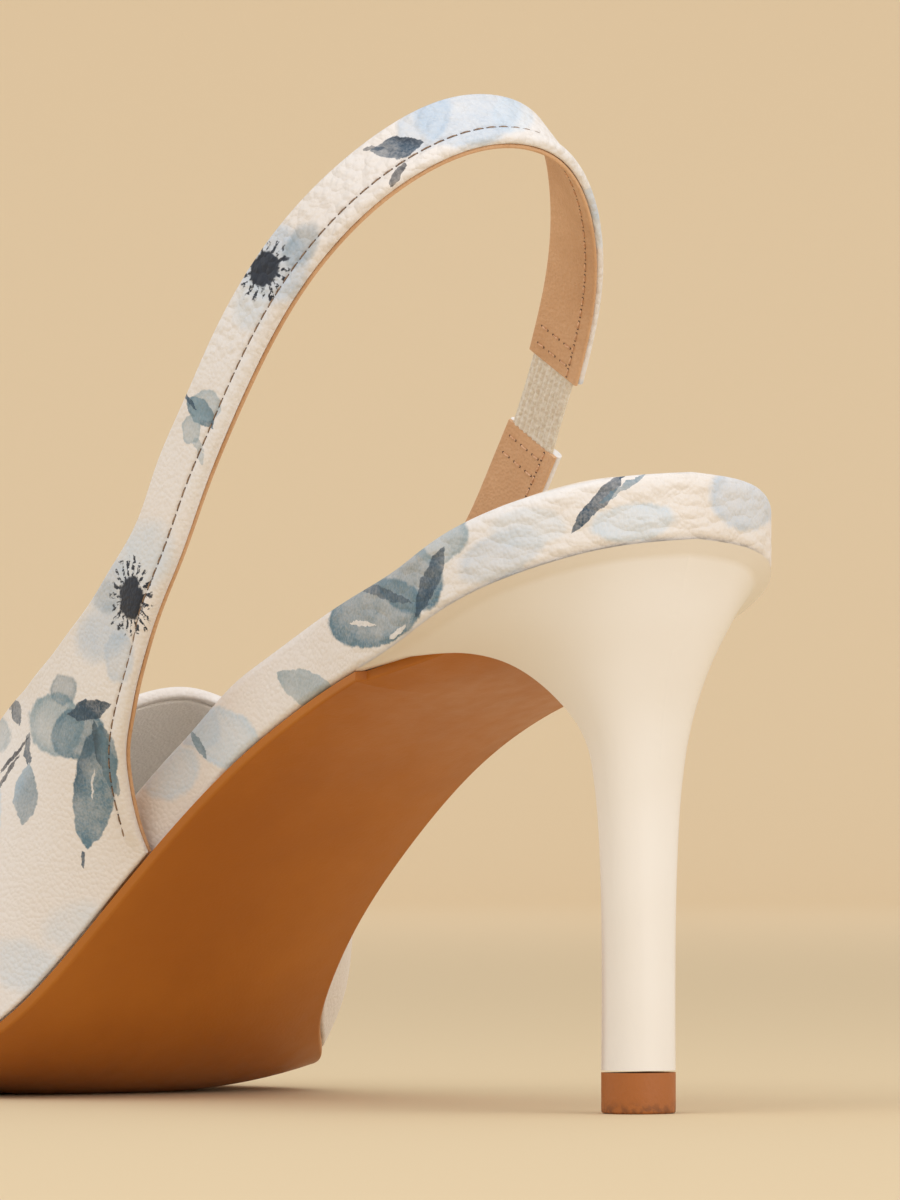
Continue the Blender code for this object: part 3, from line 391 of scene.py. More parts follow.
def table_at(table, index, x):
    """A column of a table by length, read from dense samples of its smooth curve."""
    key = (id(table), index)
    if key not in TABLES_READ:
        spots = np.linspace(0.0, 1.0, TABLE_SAMPLES)
        curve = smooth_curve(column(table, 0), column(table, index), spots)
        TABLES_READ[key] = (spots, curve)
    answer = np.interp(np.atleast_1d(share_at(x)), *TABLES_READ[key])
    return answer if np.ndim(x) else float(answer[0])


def joint_height(x):
    """Height of the joint between the footbed and the sole."""
    ball = SOLE_BALL - SOLE_FLAT
    rise = (SEAT_HEIGHT - ball) * table_at(PROFILE, 1, x)
    return ball + rise + TOE_SPRING * table_at(PROFILE, 2, x)


def slope_factor(x):
    """How much longer an upright measure is than one square to the slope."""
    step = 0.001
    x = np.asarray(x, float)
    slope = (joint_height(x + step) - joint_height(x - step)) / (2.0 * step)
    return np.sqrt(1.0 + np.asarray(slope) ** 2)


def above_joint(x, distance):
    """Height of a point at a distance from the joint, square to its slope."""
    return joint_height(x) + distance * slope_factor(x)


def outline_curve(index):
    """Dense points of one side of the outline, from the back to the toe."""
    points = np.column_stack((x_at(column(OUTLINE, 0)), BALL_WIDTH * column(OUTLINE, index)))
    length = run_length(points)
    dense = smooth_curve(length, points, np.linspace(0.0, length[-1], OUTLINE_SAMPLES))
    dense[:, 0] = np.maximum.accumulate(np.clip(dense[:, 0], BACK_X, x_at(1.0)))
    dense[:, 1] = np.maximum(dense[:, 1], 0.0)
    return dense


SIDES = {1: outline_curve(1), -1: outline_curve(2)}


def half_width(x, side):
    return np.interp(x, SIDES[side][:, 0], SIDES[side][:, 1])


def inset_side(side, inset):
    """One side of the outline moved inwards; inset is a size or one size per point."""
    curve = SIDES[side]
    tangent = np.gradient(curve, axis=0)
    tangent[0] = (0.0, 1.0)
    tangent[-1] = (0.0, -1.0)
    tangent = unit(tangent)
    inward = np.column_stack((tangent[:, 1], -tangent[:, 0]))
    moved = curve + inward * np.reshape(inset, (-1, 1))
    moved[:, 1] = np.maximum(moved[:, 1], 0.0)
    moved[:, 0] = np.maximum.accumulate(moved[:, 0])
    return moved


def make_object(name, vertices, faces):
    work = bmesh.new()
    points = [work.verts.new(Vector(v)) for v in vertices]
    for face in faces:
        corners = []
        for index in face:
            if points[index] not in corners:
                corners.append(points[index])
        if len(corners) > 2:
            work.faces.new(corners)
    bmesh.ops.remove_doubles(work, verts=work.verts, dist=WELD)
    bmesh.ops.recalc_face_normals(work, faces=work.faces)
    mesh = bpy.data.meshes.new(name)
    work.to_mesh(mesh)
    work.free()
    mesh.shade_smooth()
    mesh.set_sharp_from_angle(angle=SHARP)
    thing = bpy.data.objects.new(name, mesh)
    bpy.context.collection.objects.link(thing)
    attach(thing, "root")
    return thing


def finish_piece(thing, material, slot, *nodes):
    """Gives a piece its material and hides the solids it stands for; the slot is not used."""
    thing.data.materials.append(material)
    if nodes:
        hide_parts(*nodes)


def join_rings(faces, low, high):
    size = len(low)
    for k in range(size):
        after = (k + 1) % size
        faces.append((low[k], low[after], high[after], high[k]))


def close_tube(faces, rings):
    """Joins rings one to the next, and closes the first and the last."""
    for low, high in zip(rings[:-1], rings[1:]):
        join_rings(faces, low, high)
    faces.append(tuple(rings[0]))
    faces.append(tuple(rings[-1]))


def join_grid(faces, grid):
    for line, following in zip(grid[:-1], grid[1:]):
        for k in range(len(line) - 1):
            faces.append((line[k], following[k], following[k + 1], line[k + 1]))


def slab(name, rows, bottom, top, across):
    """A closed slab: rim rows run round the outline, bottom and top close it.

    Each row gives x, the outer and inner half width and the height at every
    station. Bottom and top give a height from x and the place across the piece,
    from -1 at the inner side to 1 at the outer side.
    """
    vertices = []
    faces = []
    rings = []
    count = len(rows[0][0])
    for x, outer, inner, height in rows:
        start = len(vertices)
        for i in range(count):
            vertices.append((x[i], outer[i], height[i]))
        for i in range(count - 2, 0, -1):
            vertices.append((x[i], -inner[i], height[i]))
        rings.append(list(range(start, len(vertices))))
    for low, high in zip(rings[:-1], rings[1:]):
        join_rings(faces, low, high)
    for ring, row, level in ((rings[0], rows[0], bottom), (rings[-1], rows[-1], top)):
        x, outer, inner, _ = row
        grid = [[ring[0]] * (across + 1)]
        for i in range(1, count - 1):
            line = [ring[i]]
            for k in range(1, across):
                share = k / across
                line.append(len(vertices))
                y = outer[i] - (outer[i] + inner[i]) * share
                vertices.append((x[i], y, level(x[i], 1.0 - 2.0 * share)))
            line.append(ring[2 * (count - 1) - i])
            grid.append(line)
        grid.append([ring[count - 1]] * (across + 1))
        join_grid(faces, grid)
    return make_object(name, vertices, faces)


def bed_slip(curve):
    """The footbed fills the outline at the heel and slips inside the upper ahead.

    At the toe it stays another wall back, because the upper leans inwards there.
    """
    share = share_at(curve[:, 0])
    corner = OUTER_WING[-1][0]
    start = corner - BED_SLIP[0]
    end = corner - BED_SLIP[1]
    toe = ease((share - TOE_START) / (1.0 - TOE_START))
    return ease((share - start) / (end - start)) * (WALL + 2.0 * CLEAR) + toe * WALL


def bed_outline(inset):
    """Stations of the footbed: x, outer and inner half width."""
    outer = inset_side(1, bed_slip(SIDES[1]) + inset)
    inner = inset_side(-1, bed_slip(SIDES[-1]) + inset)
    back = max(outer[0, 0], inner[0, 0])
    front = min(outer[-1, 0], inner[-1, 0])
    x = back + (front - back) * crowded(OUTLINE_STATIONS)
    wide_outer = np.interp(x, outer[:, 0], outer[:, 1])
    wide_inner = np.interp(x, inner[:, 0], inner[:, 1])
    for wide in (wide_outer, wide_inner):
        wide[0] = 0.0
        wide[-1] = 0.0
    return x, wide_outer, wide_inner


def bed_thickness(x):
    return BAND * table_at(THICKNESS, 1, x)


def bed_foot(x, place):
    return above_joint(x, CLEAR / 2.0)


def bed_top(x, place):
    """Top of the footbed; place runs from -1 to 1 across it."""
    dish = BED_DISH * (1.0 - abs(place) ** DISH_POWER)
    return above_joint(x, CLEAR / 2.0 + bed_thickness(x) - dish)


def build_footbed():
    """The covered footbed: its leather turns round both edges in a true radius."""
    foot = BAND_FOOT_RADIUS
    head = BAND_TOP_RADIUS
    turns = np.linspace(0.0, 0.5 * math.pi, CORNER_STEPS)
    rows = []
    for turn in turns:
        x, outer, inner = bed_outline(foot * (1.0 - math.sin(turn)))
        squeeze = np.minimum(1.0, bed_thickness(x) / (foot + head))
        rise = foot * (1.0 - math.cos(turn))
        rows.append((x, outer, inner, above_joint(x, CLEAR / 2.0 + rise * squeeze)))
    for turn in turns:
        x, outer, inner = bed_outline(head * (1.0 - math.cos(turn)))
        thick = bed_thickness(x)
        squeeze = np.minimum(1.0, thick / (foot + head)) * 0.9
        drop = head * (1.0 - math.sin(turn))
        rows.append((x, outer, inner, above_joint(x, CLEAR / 2.0 + thick - drop * squeeze)))
    return slab("footbed_cover", rows, bed_foot, bed_top, BED_ACROSS)


def build_insole():
    """Padded sock that lies in the footbed's dish."""
    x, outer, inner = bed_outline(BAND_TOP_RADIUS + SOCK_MARGIN)
    rim_x, rim_outer, rim_inner = bed_outline(BAND_TOP_RADIUS)
    count = int(np.sum(share_at(x) < SOCK_END))
    vertices = []
    faces = []
    grids = []
    for thick in (0.0, SOCK):
        grid = []
        for i in range(count):
            wide_outer = np.interp(x[i], rim_x, rim_outer)
            wide_inner = np.interp(x[i], rim_x, rim_inner)
            line = []
            for k in range(BED_ACROSS + 1):
                y = outer[i] - (outer[i] + inner[i]) * k / BED_ACROSS
                place = (2.0 * y - wide_outer + wide_inner) / (wide_outer + wide_inner)
                at_rim = k in (0, BED_ACROSS) or i in (0, count - 1)
                lift = 2.0 * CLEAR + thick * (SOCK_RIM if at_rim else 1.0)
                line.append(len(vertices))
                vertices.append((x[i], y, bed_top(x[i], place) + lift * slope_factor(x[i])))
            grid.append(line)
        join_grid(faces, grid)
        grids.append(grid)
    rims = []
    for grid in grids:
        near = [line[0] for line in grid]
        far = [line[-1] for line in grid]
        rims.append(near + grid[-1][1:-1] + far[::-1] + grid[0][1:-1][::-1])
    join_rings(faces, rims[0], rims[1])
    return make_object("sock", vertices, faces)


def breast_line(corner_x, inner_y, middle_x, power):
    """The heel's front face on one side, from the corner to the middle plane."""
    points = []
    for k in range(HEEL_SIDE + 1):
        y = inner_y * math.cos(0.5 * math.pi * k / HEEL_SIDE)
        points.append((middle_x + (corner_x - middle_x) * (y / inner_y) ** power, y))
    return points


def seat_corner(side):
    """End of a wing of the seat: x, outer half width and inner half width."""
    x = BACK_X + WING_LENGTH
    wide = float(half_width(x, side))
    return x, wide, wide - WING_TIP


def tongue_width(x, start, side):
    """The outsole narrows to a tongue that fits between the heel's wings."""
    corner_x, _, inner_y = seat_corner(side)
    share = np.clip((x - start) / (corner_x - start), 0.0, 1.0)
    return (inner_y - 1.3 * CLEAR) * share ** (1.0 / BREAST_POWER)


def sole_outline(inset):
    """Stations of the outsole: x, outer and inner half width."""
    corner = BACK_X + WING_LENGTH
    start = BACK_X + BREAST_MIDDLE * WING_LENGTH + 1.5 * CLEAR
    front = min(inset_side(1, inset)[-1, 0], inset_side(-1, inset)[-1, 0])
    spread = np.linspace(0.0, 1.0, TONGUE_STATIONS) ** TONGUE_CROWDING
    tongue = start + (corner - start) * spread
    tongue[0] += inset / 2.0
    body = corner + 1.5 * CLEAR
    ahead = body + (front - body) * crowded(OUTLINE_STATIONS - 6)
    x = np.concatenate((tongue, ahead))
    widths = []
    for side in (1, -1):
        curve = inset_side(side, inset)
        wide = np.interp(x, curve[:, 0], curve[:, 1])
        narrow = np.maximum(tongue_width(x, start, side) - inset, 0.0)
        wide = np.where(x > corner, wide, np.minimum(wide, narrow))
        wide[0] = 0.0
        wide[-1] = 0.0
        widths.append(wide)
    return x, widths[0], widths[1]


def sole_foot(x, place):
    """Underside of the outsole, rounded across and worn flat on the floor."""
    middle = SOLE_BALL * table_at(THICKNESS, 2, x)
    depth = SOLE_EDGE + (middle - SOLE_EDGE) * (1.0 - abs(place) ** CROWN_POWER)
    return max(0.0, above_joint(x, -CLEAR / 2.0 - depth))


def sole_top(x, place):
    return above_joint(x, -CLEAR / 2.0)


def build_outsole():
    """Moulded outsole, its thin edge turned under in a small radius."""
    rows = []
    for turn in np.linspace(0.0, 0.5 * math.pi, CORNER_STEPS):
        x, outer, inner = sole_outline(CLEAR + SOLE_EDGE / 3.0 * (1.0 - math.sin(turn)))
        drop = 0.7 + 0.3 * math.cos(turn)
        rows.append((x, outer, inner, above_joint(x, -CLEAR / 2.0 - drop * SOLE_EDGE)))
    x, outer, inner = sole_outline(CLEAR)
    rows.append((x, outer, inner, above_joint(x, -CLEAR / 2.0)))
    return slab("moulded_sole", rows, sole_foot, sole_top, SOLE_ACROSS)


def heel_side(ring, side):
    """Outer points of one side of a heel ring, from the back to the corner."""
    back, back_z, corner, corner_z, corner_wide, wide, _, seat = ring
    x_back = BACK_X + back * WING_LENGTH
    x_corner = BACK_X + corner * WING_LENGTH
    points = []
    for t in crowded(HEEL_SIDE + 1):
        x = x_back + (x_corner - x_back) * t
        if t < HEEL_TURN:
            shape = (1.0 - (1.0 - t / HEEL_TURN) ** HEEL_POWER) ** (1.0 / HEEL_POWER)
        else:
            shape = 1.0 - (1.0 - corner_wide / wide) * ((t - HEEL_TURN) / (1.0 - HEEL_TURN)) ** 2
        own = shape * wide * SEAT_WIDTH / 2.0
        outline = float(half_width(BACK_X + t * (x_corner - BACK_X), side)) * wide
        z = SEAT_HEIGHT * (back_z + (corner_z - back_z) * t)
        points.append((x, own * (1.0 - seat) + outline * seat, z))
    return points


def heel_ring(ring, side):
    """Outer line and breast of one side of a ring below the seat."""
    seat = ring[7]
    outer = heel_side(ring, side)
    back = outer[0]
    corner = outer[-1]
    thick = STEM_CORNER + (WING_TIP - STEM_CORNER) * seat
    power = STEM_POWER + (BREAST_POWER - STEM_POWER) * seat
    breast = []
    middle_x = BACK_X + ring[6] * WING_LENGTH
    for x, y in breast_line(corner[0], corner[1] - thick, middle_x, power):
        share = (x - back[0]) / (corner[0] - back[0])
        breast.append((x, y, back[2] + (corner[2] - back[2]) * share))
    return outer, breast


def seat_ring(side):
    """Outer line and breast of the heel's top, under the footbed and the sole."""
    corner_x, _, inner_y = seat_corner(side)
    middle_x = BACK_X + BREAST_MIDDLE * WING_LENGTH
    plan = []
    for t in crowded(HEEL_SIDE + 1):
        x = BACK_X + WING_LENGTH * t
        plan.append((x, float(half_width(x, side))))
    outer = [(x, y, above_joint(x, -CLEAR / 2.0)) for x, y in plan]
    front = breast_line(corner_x, inner_y, middle_x, BREAST_POWER)
    breast = [(x, y, above_joint(x, -CLEAR / 2.0)) for x, y in front]
    return outer, breast


def heel_levels():
    """Levels of the heel as points, from its foot to the seat, smoothed upwards."""
    shares = np.linspace(0.0, 1.0, len(HEEL))
    smooth = smooth_curve(shares, np.array(HEEL), np.linspace(0.0, 1.0, HEEL_RINGS))
    smooth[:, 7] = np.clip(smooth[:, 7], 0.0, 1.0)
    answer = {}
    for side in (1, -1):
        levels = []
        for ring in smooth:
            outer, breast = heel_ring(ring, side)
            levels.append(outer + breast)
        levels = np.array(levels)
        levels[0, :, 2] = TIP_THICK + CLEAR
        steps = np.linalg.norm(np.diff(levels, axis=0), axis=2).mean(axis=1)
        keys = np.concatenate(([0.0], np.cumsum(steps)))
        spots = np.interp(np.arange(0.0, len(keys) - 1 + 1e-6, 1.0 / LEVEL_PARTS),
                          np.arange(len(keys)), keys)
        fine = smooth_curve(keys, levels.reshape(len(keys), -1), spots)
        fine = fine.reshape(len(spots), -1, 3)
        outer, breast = seat_ring(side)
        seat = np.array(outer + breast)
        rise = np.linspace(0.0, 1.0, LEVEL_PARTS + 1)[1:, None, None]
        answer[side] = np.concatenate((fine, fine[-1] + (seat - fine[-1]) * rise))
    return answer


def build_heel():
    levels = heel_levels()
    half = HEEL_SIDE + 1
    vertices = []
    faces = []
    rings = []
    for k in range(len(levels[1])):
        ring = {}
        for side in (1, -1):
            start = len(vertices)
            vertices.extend((x, side * y, z) for x, y, z in levels[side][k])
            ring[side] = list(range(start, start + 2 * half))
        rings.append(ring)
    for low, high in zip(rings[:-1], rings[1:]):
        for side in (1, -1):
            join_grid(faces, (low[side], high[side]))
    for ring in (rings[0], rings[-1]):
        for side in (1, -1):
            join_grid(faces, (ring[side][:half], ring[side][half:][::-1]))
    return make_object("glossy_heel", vertices, faces)


def build_heel_tip():
    """Wearing piece below the heel, its lower edge worn round."""
    foot = np.array(HEEL[0])
    half = [(x, y) for line in heel_ring(foot, 1) for x, y, _ in line]
    loop = half + [(x, -y) for x, y in half[-2:0:-1]]
    centre = (half[0][0] + half[-1][0]) / 2.0
    reach = (half[-1][0] - half[0][0]) / 2.0
    rows = []
    for turn in np.linspace(0.0, 0.5 * math.pi, CORNER_STEPS):
        inset = TIP_CHAMFER * 0.75 * (1.0 - math.sin(turn))
        rows.append((TIP_CHAMFER * (1.0 - math.cos(turn)), 1.0 - inset / reach))
    rows += [(TIP_THICK * 0.5, 1.0), (TIP_THICK, 1.0)]
    vertices = []
    faces = []
    rings = []
    for height, scale in rows:
        rings.append(list(range(len(vertices), len(vertices) + len(loop))))
        vertices.extend((centre + (x - centre) * scale, y * scale, height) for x, y in loop)
    close_tube(faces, rings)
    return make_object("worn_tip", vertices, faces)


def place(length, outward, rise):
    x = float(x_at(length))
    return np.array((x, BALL_WIDTH * outward, joint_height(x) + STRAP_RISE * rise))


def ribbon(table):
    """Rear and front edges of a flat strap, from its middle line."""
    middle = np.array([place(*row[:3]) for row in table])
    along = unit(np.gradient(middle, axis=0))
    lean = np.array((math.cos(STRAP_LEAN), 0.0, math.sin(STRAP_LEAN)))
    rear = []
    front = []
    for centre, tangent, row in zip(middle, along, table):
        across = unit(lean - tangent * np.dot(lean, tangent))
        turn = math.radians(row[3])
        across = across * math.cos(turn) - np.cross(tangent, across) * math.sin(turn)
        rear.append(centre - across * STRAP_WIDTH / 2.0)
        front.append(centre + across * STRAP_WIDTH / 2.0)
    return np.array(rear), np.array(front)


def ridge_distance(x, y):
    """How far a point lies from the vamp's ridge, as a share of the way to the edge."""
    ridge = -BALL_WIDTH * table_at(RIDGE, 2, x)
    side = 1 if y > ridge else -1
    wide = half_width(x, side) - side * ridge
    return min(0.9, abs(y - ridge) / max(wide, CLEAR))


def vamp_height(x, across):
    """Top of the vamp as a last shapes it; across is 0 on the ridge, 1 at the edge."""
    toe = np.clip((share_at(x) - TOE_START) / (1.0 - TOE_START), 0.0, 1.0)
    dome = (1.0 - across ** VAMP_POWER) ** (1.0 / VAMP_POWER)
    tip = (1.0 - toe ** TOE_POWER) ** (1.0 / TOE_POWER)
    return above_joint(x, CLEAR / 2.0) + INSTEP_RISE * table_at(RIDGE, 1, x) * dome * tip


def vamp_column(foot, head, shares, gone):
    """Points up the vamp from the sole's edge to the topline."""
    steps = np.linspace(0.0, 1.0, COLUMN_SAMPLES)
    reach = steps ** VAMP_TUCK
    x = foot[0] + (head[0] - foot[0]) * reach
    y = foot[1] + (head[1] - foot[1]) * reach
    climb = reach ** (1.0 - TOE_RUSH * gone)
    z = vamp_height(x, 1.0 - climb * (1.0 - ridge_distance(head[0], head[1])))
    z[0] = foot[2]
    z = z + (head[2] - z[-1]) * reach ** 1.5
    line = np.column_stack((x, y, z))
    length = run_length(line)
    return np.column_stack([np.interp(shares * length[-1], length, line[:, i]) for i in range(3)])


def wing_column(foot, head, shares):
    return foot[None, :] + (head - foot)[None, :] * shares[:, None]


def swell(shares, outward, amount):
    """Fullness of a column: it stands out between its foot and the topline."""
    bulge = np.sin(math.pi * shares ** SWELL_PLACE)
    return outward[None, :] * (WING_FULLNESS * amount * bulge)[:, None]


def sole_edge_point(x, side):
    """Foot of the upper on the sole's edge; side 0 is the toe's tip."""
    y = side * float(half_width(x, side)) if side else 0.0
    return np.array((x, y, float(above_joint(x, CLEAR / 2.0))))


def strap_columns(key, front, rear, fullness, start, side):
    """Columns of a strap and its wing, from one place on the topline to its end."""
    keys = key[start:start + len(rear)]
    count = int(round((keys[-1] - keys[0]) / STRAP_STEP))
    wanted = np.linspace(keys[0], keys[-1], count + 1)
    feet = smooth_curve(keys, rear, wanted)
    heads = smooth_curve(key, front, wanted)
    amounts = np.interp(wanted, keys, fullness)
    shares = np.linspace(0.0, 1.0, UPPER_ROWS + 1)
    outward = np.array((0.0, float(side), 0.0))
    columns = []
    for foot, head, amount in zip(feet, heads, amounts):
        columns.append(wing_column(foot, head, shares) + swell(shares, outward, amount))
    return columns


def vamp_columns(key, front, start, end):
    """Columns of the vamp, from the outer wing's corner round the toe to the inner."""
    feet = [sole_edge_point(float(x_at(s)), 1) for s in (OUTER_WING[-1][0],) + VAMP_STATIONS]
    toe = len(feet)
    feet.append(sole_edge_point(float(x_at(1.0)), 0))
    for s in ((INNER_WING[0][0],) + VAMP_STATIONS)[::-1]:
        feet.append(sole_edge_point(float(x_at(s)), -1))
    feet = np.array(feet)
    run = run_length(feet)
    tangent = unit(np.gradient(feet[:, :2], axis=0))
    columns = []
    for i, foot in enumerate(feet):
        side = 1 if i <= toe else -1
        reach = run[toe] if side > 0 else run[-1] - run[toe]
        gone = (run[i] if side > 0 else run[-1] - run[i]) / reach
        share = 0.5 * gone ** HEAD_SPREAD
        if side < 0:
            share = 1.0 - share
        wanted = key[start] + (key[end] - key[start]) * share
        head = smooth_curve(key, front, np.array([wanted]))[0]
        shares = np.linspace(0.0, 1.0, UPPER_ROWS + 1) ** (1.0 + TOE_CROWDING * gone)
        blend = ease(gone * reach / (VAMP_BLEND * SHOE_LENGTH))
        flat = wing_column(foot, head, shares)
        domed = vamp_column(foot, head, shares, gone)
        turn = ease(gone * 2.0)
        normal = np.array((-tangent[i, 1], tangent[i, 0], 0.0))
        outward = unit(np.array((0.0, float(side), 0.0)) * (1.0 - turn) + normal * turn)
        corner = OUTER_WING[-1][6] if side > 0 else INNER_WING[0][6]
        amount = corner * np.interp(gone, column(VAMP_SWELL, 0), column(VAMP_SWELL, 1))
        columns.append(flat * (1.0 - blend) + domed * blend + swell(shares, outward, amount))
    return columns


def relaxed(grid, first, last):
    """Evens out the face between its edges, from the wings to the ball."""
    first = first - len(OUTER_WING)
    last = last + len(INNER_WING)
    part = grid[first:last + 1]
    start, end = RELAX_LENGTHS
    weight = 0.5 * (1.0 - ease((share_at(part[:, 0, 0]) - start) / (end - start)))
    weight = weight[1:-1, None, None]
    for _ in range(RELAX_PASSES):
        around = part[:-2, 1:-1] + part[2:, 1:-1] + part[1:-1, :-2] + part[1:-1, 2:]
        part[1:-1, 1:-1] += weight * (around / 4.0 - part[1:-1, 1:-1])
    return grid


def overhang(grid, toe):
    """The vamp's inner side stands out over the sole's edge, most behind the ball."""
    start, full, end = OVERHANG_REACH
    for line in grid[toe:]:
        share = share_at(line[0, 0])
        amount = ease((share - start) / (full - start))
        amount *= 1.0 - ease((share - full) / (end - full))
        run = run_length(line)
        bulge = np.sin(math.pi * (run / run[-1]) ** OVERHANG_PLACE)
        line[:, 1] -= INNER_OVERHANG * amount * bulge
    return grid


def wall_direction(outer):
    """Direction out of the wall at every point, evened out along the edges."""
    normal = unit(np.cross(np.gradient(outer, axis=0), np.gradient(outer, axis=1)))
    for _ in range(WALL_PASSES):
        normal[1:-1] = unit(normal[:-2] + 2.0 * normal[1:-1] + normal[2:])
    return normal


def upper_face():
    """The upper's outer face as columns, from the elastic round to the elastic.

    Also gives the first and the last column that stand on the sole.
    """
    strap_rear, strap_front = ribbon(STRAP)
    stub_rear, stub_front = ribbon(STUB)
    outer_rear = np.array([place(*row[0:3]) for row in OUTER_WING])
    outer_front = np.array([place(*row[3:6]) for row in OUTER_WING])
    inner_rear = np.array([place(*row[0:3]) for row in INNER_WING])
    inner_front = np.array([place(*row[3:6]) for row in INNER_WING])
    outer_rear[-1] = sole_edge_point(outer_rear[-1][0], 1)
    inner_rear[0] = sole_edge_point(inner_rear[0][0], -1)
    throat = np.array([place(*row) for row in THROAT])
    front = np.vstack((strap_front, outer_front, throat, inner_front, stub_front))
    key = run_length(front)
    start = len(STRAP) + len(OUTER_WING) - 1
    end = start + len(THROAT) + 1
    outer_full = np.concatenate((np.zeros(len(STRAP)), column(OUTER_WING, 6)))
    inner_full = np.concatenate((column(INNER_WING, 6), np.zeros(len(STUB))))
    outer_edge = np.vstack((strap_rear, outer_rear))
    inner_edge = np.vstack((inner_rear, stub_rear))
    first = strap_columns(key, front, outer_edge, outer_full, 0, 1)[:-1]
    middle = vamp_columns(key, front, start, end)
    last = strap_columns(key, front, inner_edge, inner_full, end, -1)[1:]
    grid = np.array(first + middle + last)
    first_foot = len(first)
    last_foot = first_foot + len(middle) - 1
    toe = (first_foot + last_foot) // 2
    return overhang(relaxed(grid, first_foot, last_foot), toe), first_foot, last_foot


class Skin:
    """The upper's outer face, read at any distance from its rear edge and depth."""

    def __init__(self):
        grid, first_foot, last_foot = upper_face()
        normal = wall_direction(grid)
        if normal[first_foot, UPPER_ROWS // 2, 1] < 0.0:
            normal = -normal
        count, rows = grid.shape[:2]
        keys = np.arange(count, dtype=float)
        wanted = np.linspace(0.0, count - 1.0, COLUMN_PARTS * (count - 1) + 1)
        flat = np.concatenate((grid.reshape(count, -1), normal.reshape(count, -1)), axis=1)
        fine = smooth_curve(keys, flat, wanted)
        size = rows * 3
        self.points = fine[:, :size].reshape(-1, rows, 3)
        self.normals = unit(fine[:, size:].reshape(-1, rows, 3))
        self.first = first_foot * COLUMN_PARTS
        self.last = last_foot * COLUMN_PARTS
        for start, end in ((0, first_foot), (first_foot, last_foot), (last_foot, count - 1)):
            part = smooth_curve(keys[start:end + 1], grid[start:end + 1, 0],
                                wanted[start * COLUMN_PARTS:end * COLUMN_PARTS + 1])
            self.points[start * COLUMN_PARTS:end * COLUMN_PARTS + 1, 0] = part
        self.count = len(wanted)
        self.keys = [run_length(line) for line in self.points]
        self.length = np.array([key[-1] for key in self.keys])
        self.both = np.concatenate((self.points, self.normals), axis=2)

    def at(self, index, distance, depth):
        """Points of one column at distances from the rear edge and depths inwards."""
        read = smooth_curve(self.keys[index], self.both[index], np.asarray(distance, float))
        point = read[:, :3] - unit(read[:, 3:]) * np.reshape(depth, (-1, 1))
        if self.first <= index <= self.last:
            floor = above_joint(point[:, 0], CLEAR / 2.0)
            point[:, 2] = np.maximum(point[:, 2], floor)
        return point


def seam_relief(distance, weight):
    """Folded rim behind the seam stands out; the seam itself is drawn in."""
    inside = np.clip(distance / FOLD, 0.0, 1.0)
    puff = FOLD_PUFF * np.sin(math.pi * inside) ** 0.8
    groove = SEAM_DEPTH * np.exp(-((distance - SEAM_PLACE) / SEAM_WIDTH) ** 2)
    return weight * (puff - groove)


def fold_weight(skin, index):
    """The fold runs along straps and wings, and ends where the upper meets the sole."""
    if index <= skin.first:
        away = skin.first - index
    elif index >= skin.last:
        away = index - skin.last
    else:
        return 0.0
    return float(ease(away / (0.75 * COLUMN_PARTS)))


def ring_of_sheet(skin, index, depth, thick, rear, front, relief):
    """Closed section of one sheet of the upper in one column, edges fully rounded."""
    beaded = float(ease((skin.length[index] - BEAD_START[0]) / BEAD_START[1]))
    length = skin.length[index] - front - (0.0 if relief else beaded * BEAD_WIDTH)
    near = rear + np.array(REAR_ROWS) * MM + thick / 2.0
    even = np.linspace(near[-1], length - 2.4 * MM, UPPER_SPAN)[1:]
    far = length - np.array(FRONT_ROWS) * MM - thick / 2.0
    outward = np.concatenate((near, even, np.maximum(far, even[-1] + 0.1 * MM)))
    turns = np.linspace(0.0, math.pi, CORNER_STEPS + 2)[1:-1]
    round_front = outward[-1] + thick / 2.0 * np.sin(turns)
    round_depth = depth + thick / 2.0 * (1.0 - np.cos(turns))
    back = outward[::-1]
    inward = np.concatenate((back[:12], back[12::2]))
    round_rear = outward[0] - thick / 2.0 * np.sin(turns)
    distance = np.concatenate((outward, round_front, inward, round_rear))
    rim = beaded * BEAD if relief else 0.0
    inner_rim = rim * ease((inward - outward[-1] + BEAD_WIDTH) / (0.6 * BEAD_WIDTH))
    front_depth = depth + (thick + rim) / 2.0 * (1.0 - np.cos(turns))
    deep = np.concatenate((
        np.full(len(outward), depth), front_depth,
        depth + thick + inner_rim, round_depth[::-1]))
    if relief:
        raised = seam_relief(distance, fold_weight(skin, index))
        share = np.clip((depth + thick - deep) / thick, 0.0, 1.0)
        raised = np.where(distance > 2.0 * FOLD, 0.0, raised)
        deep = deep - raised * share
    return skin.at(index, distance, deep)


def build_sheet(skin, name, depth, thick, rear, front, relief):
    vertices = []
    faces = []
    rings = []
    for index in range(skin.count):
        points = ring_of_sheet(skin, index, depth, thick, rear, front, relief)
        rings.append(list(range(len(vertices), len(vertices) + len(points))))
        vertices.extend(map(tuple, points))
    for low, high in zip(rings[:-1], rings[1:]):
        join_rings(faces, low, high)
    for ring in (rings[0], rings[-1]):
        middle = len(vertices)
        vertices.append(tuple(np.mean([vertices[k] for k in ring], axis=0)))
        for k, point in enumerate(ring):
            faces.append((point, ring[(k + 1) % len(ring)], middle))
    return make_object(name, vertices, faces)


# A stitch from end to end: place along it, lift and thickness in thread sizes.
STITCH_FORM = ((-0.08, -0.9, 0.5), (0.05, 0.2, 0.95), (0.3, 0.75, 1.0),
               (0.7, 0.75, 1.0), (0.95, 0.2, 0.95), (1.08, -0.9, 0.5))


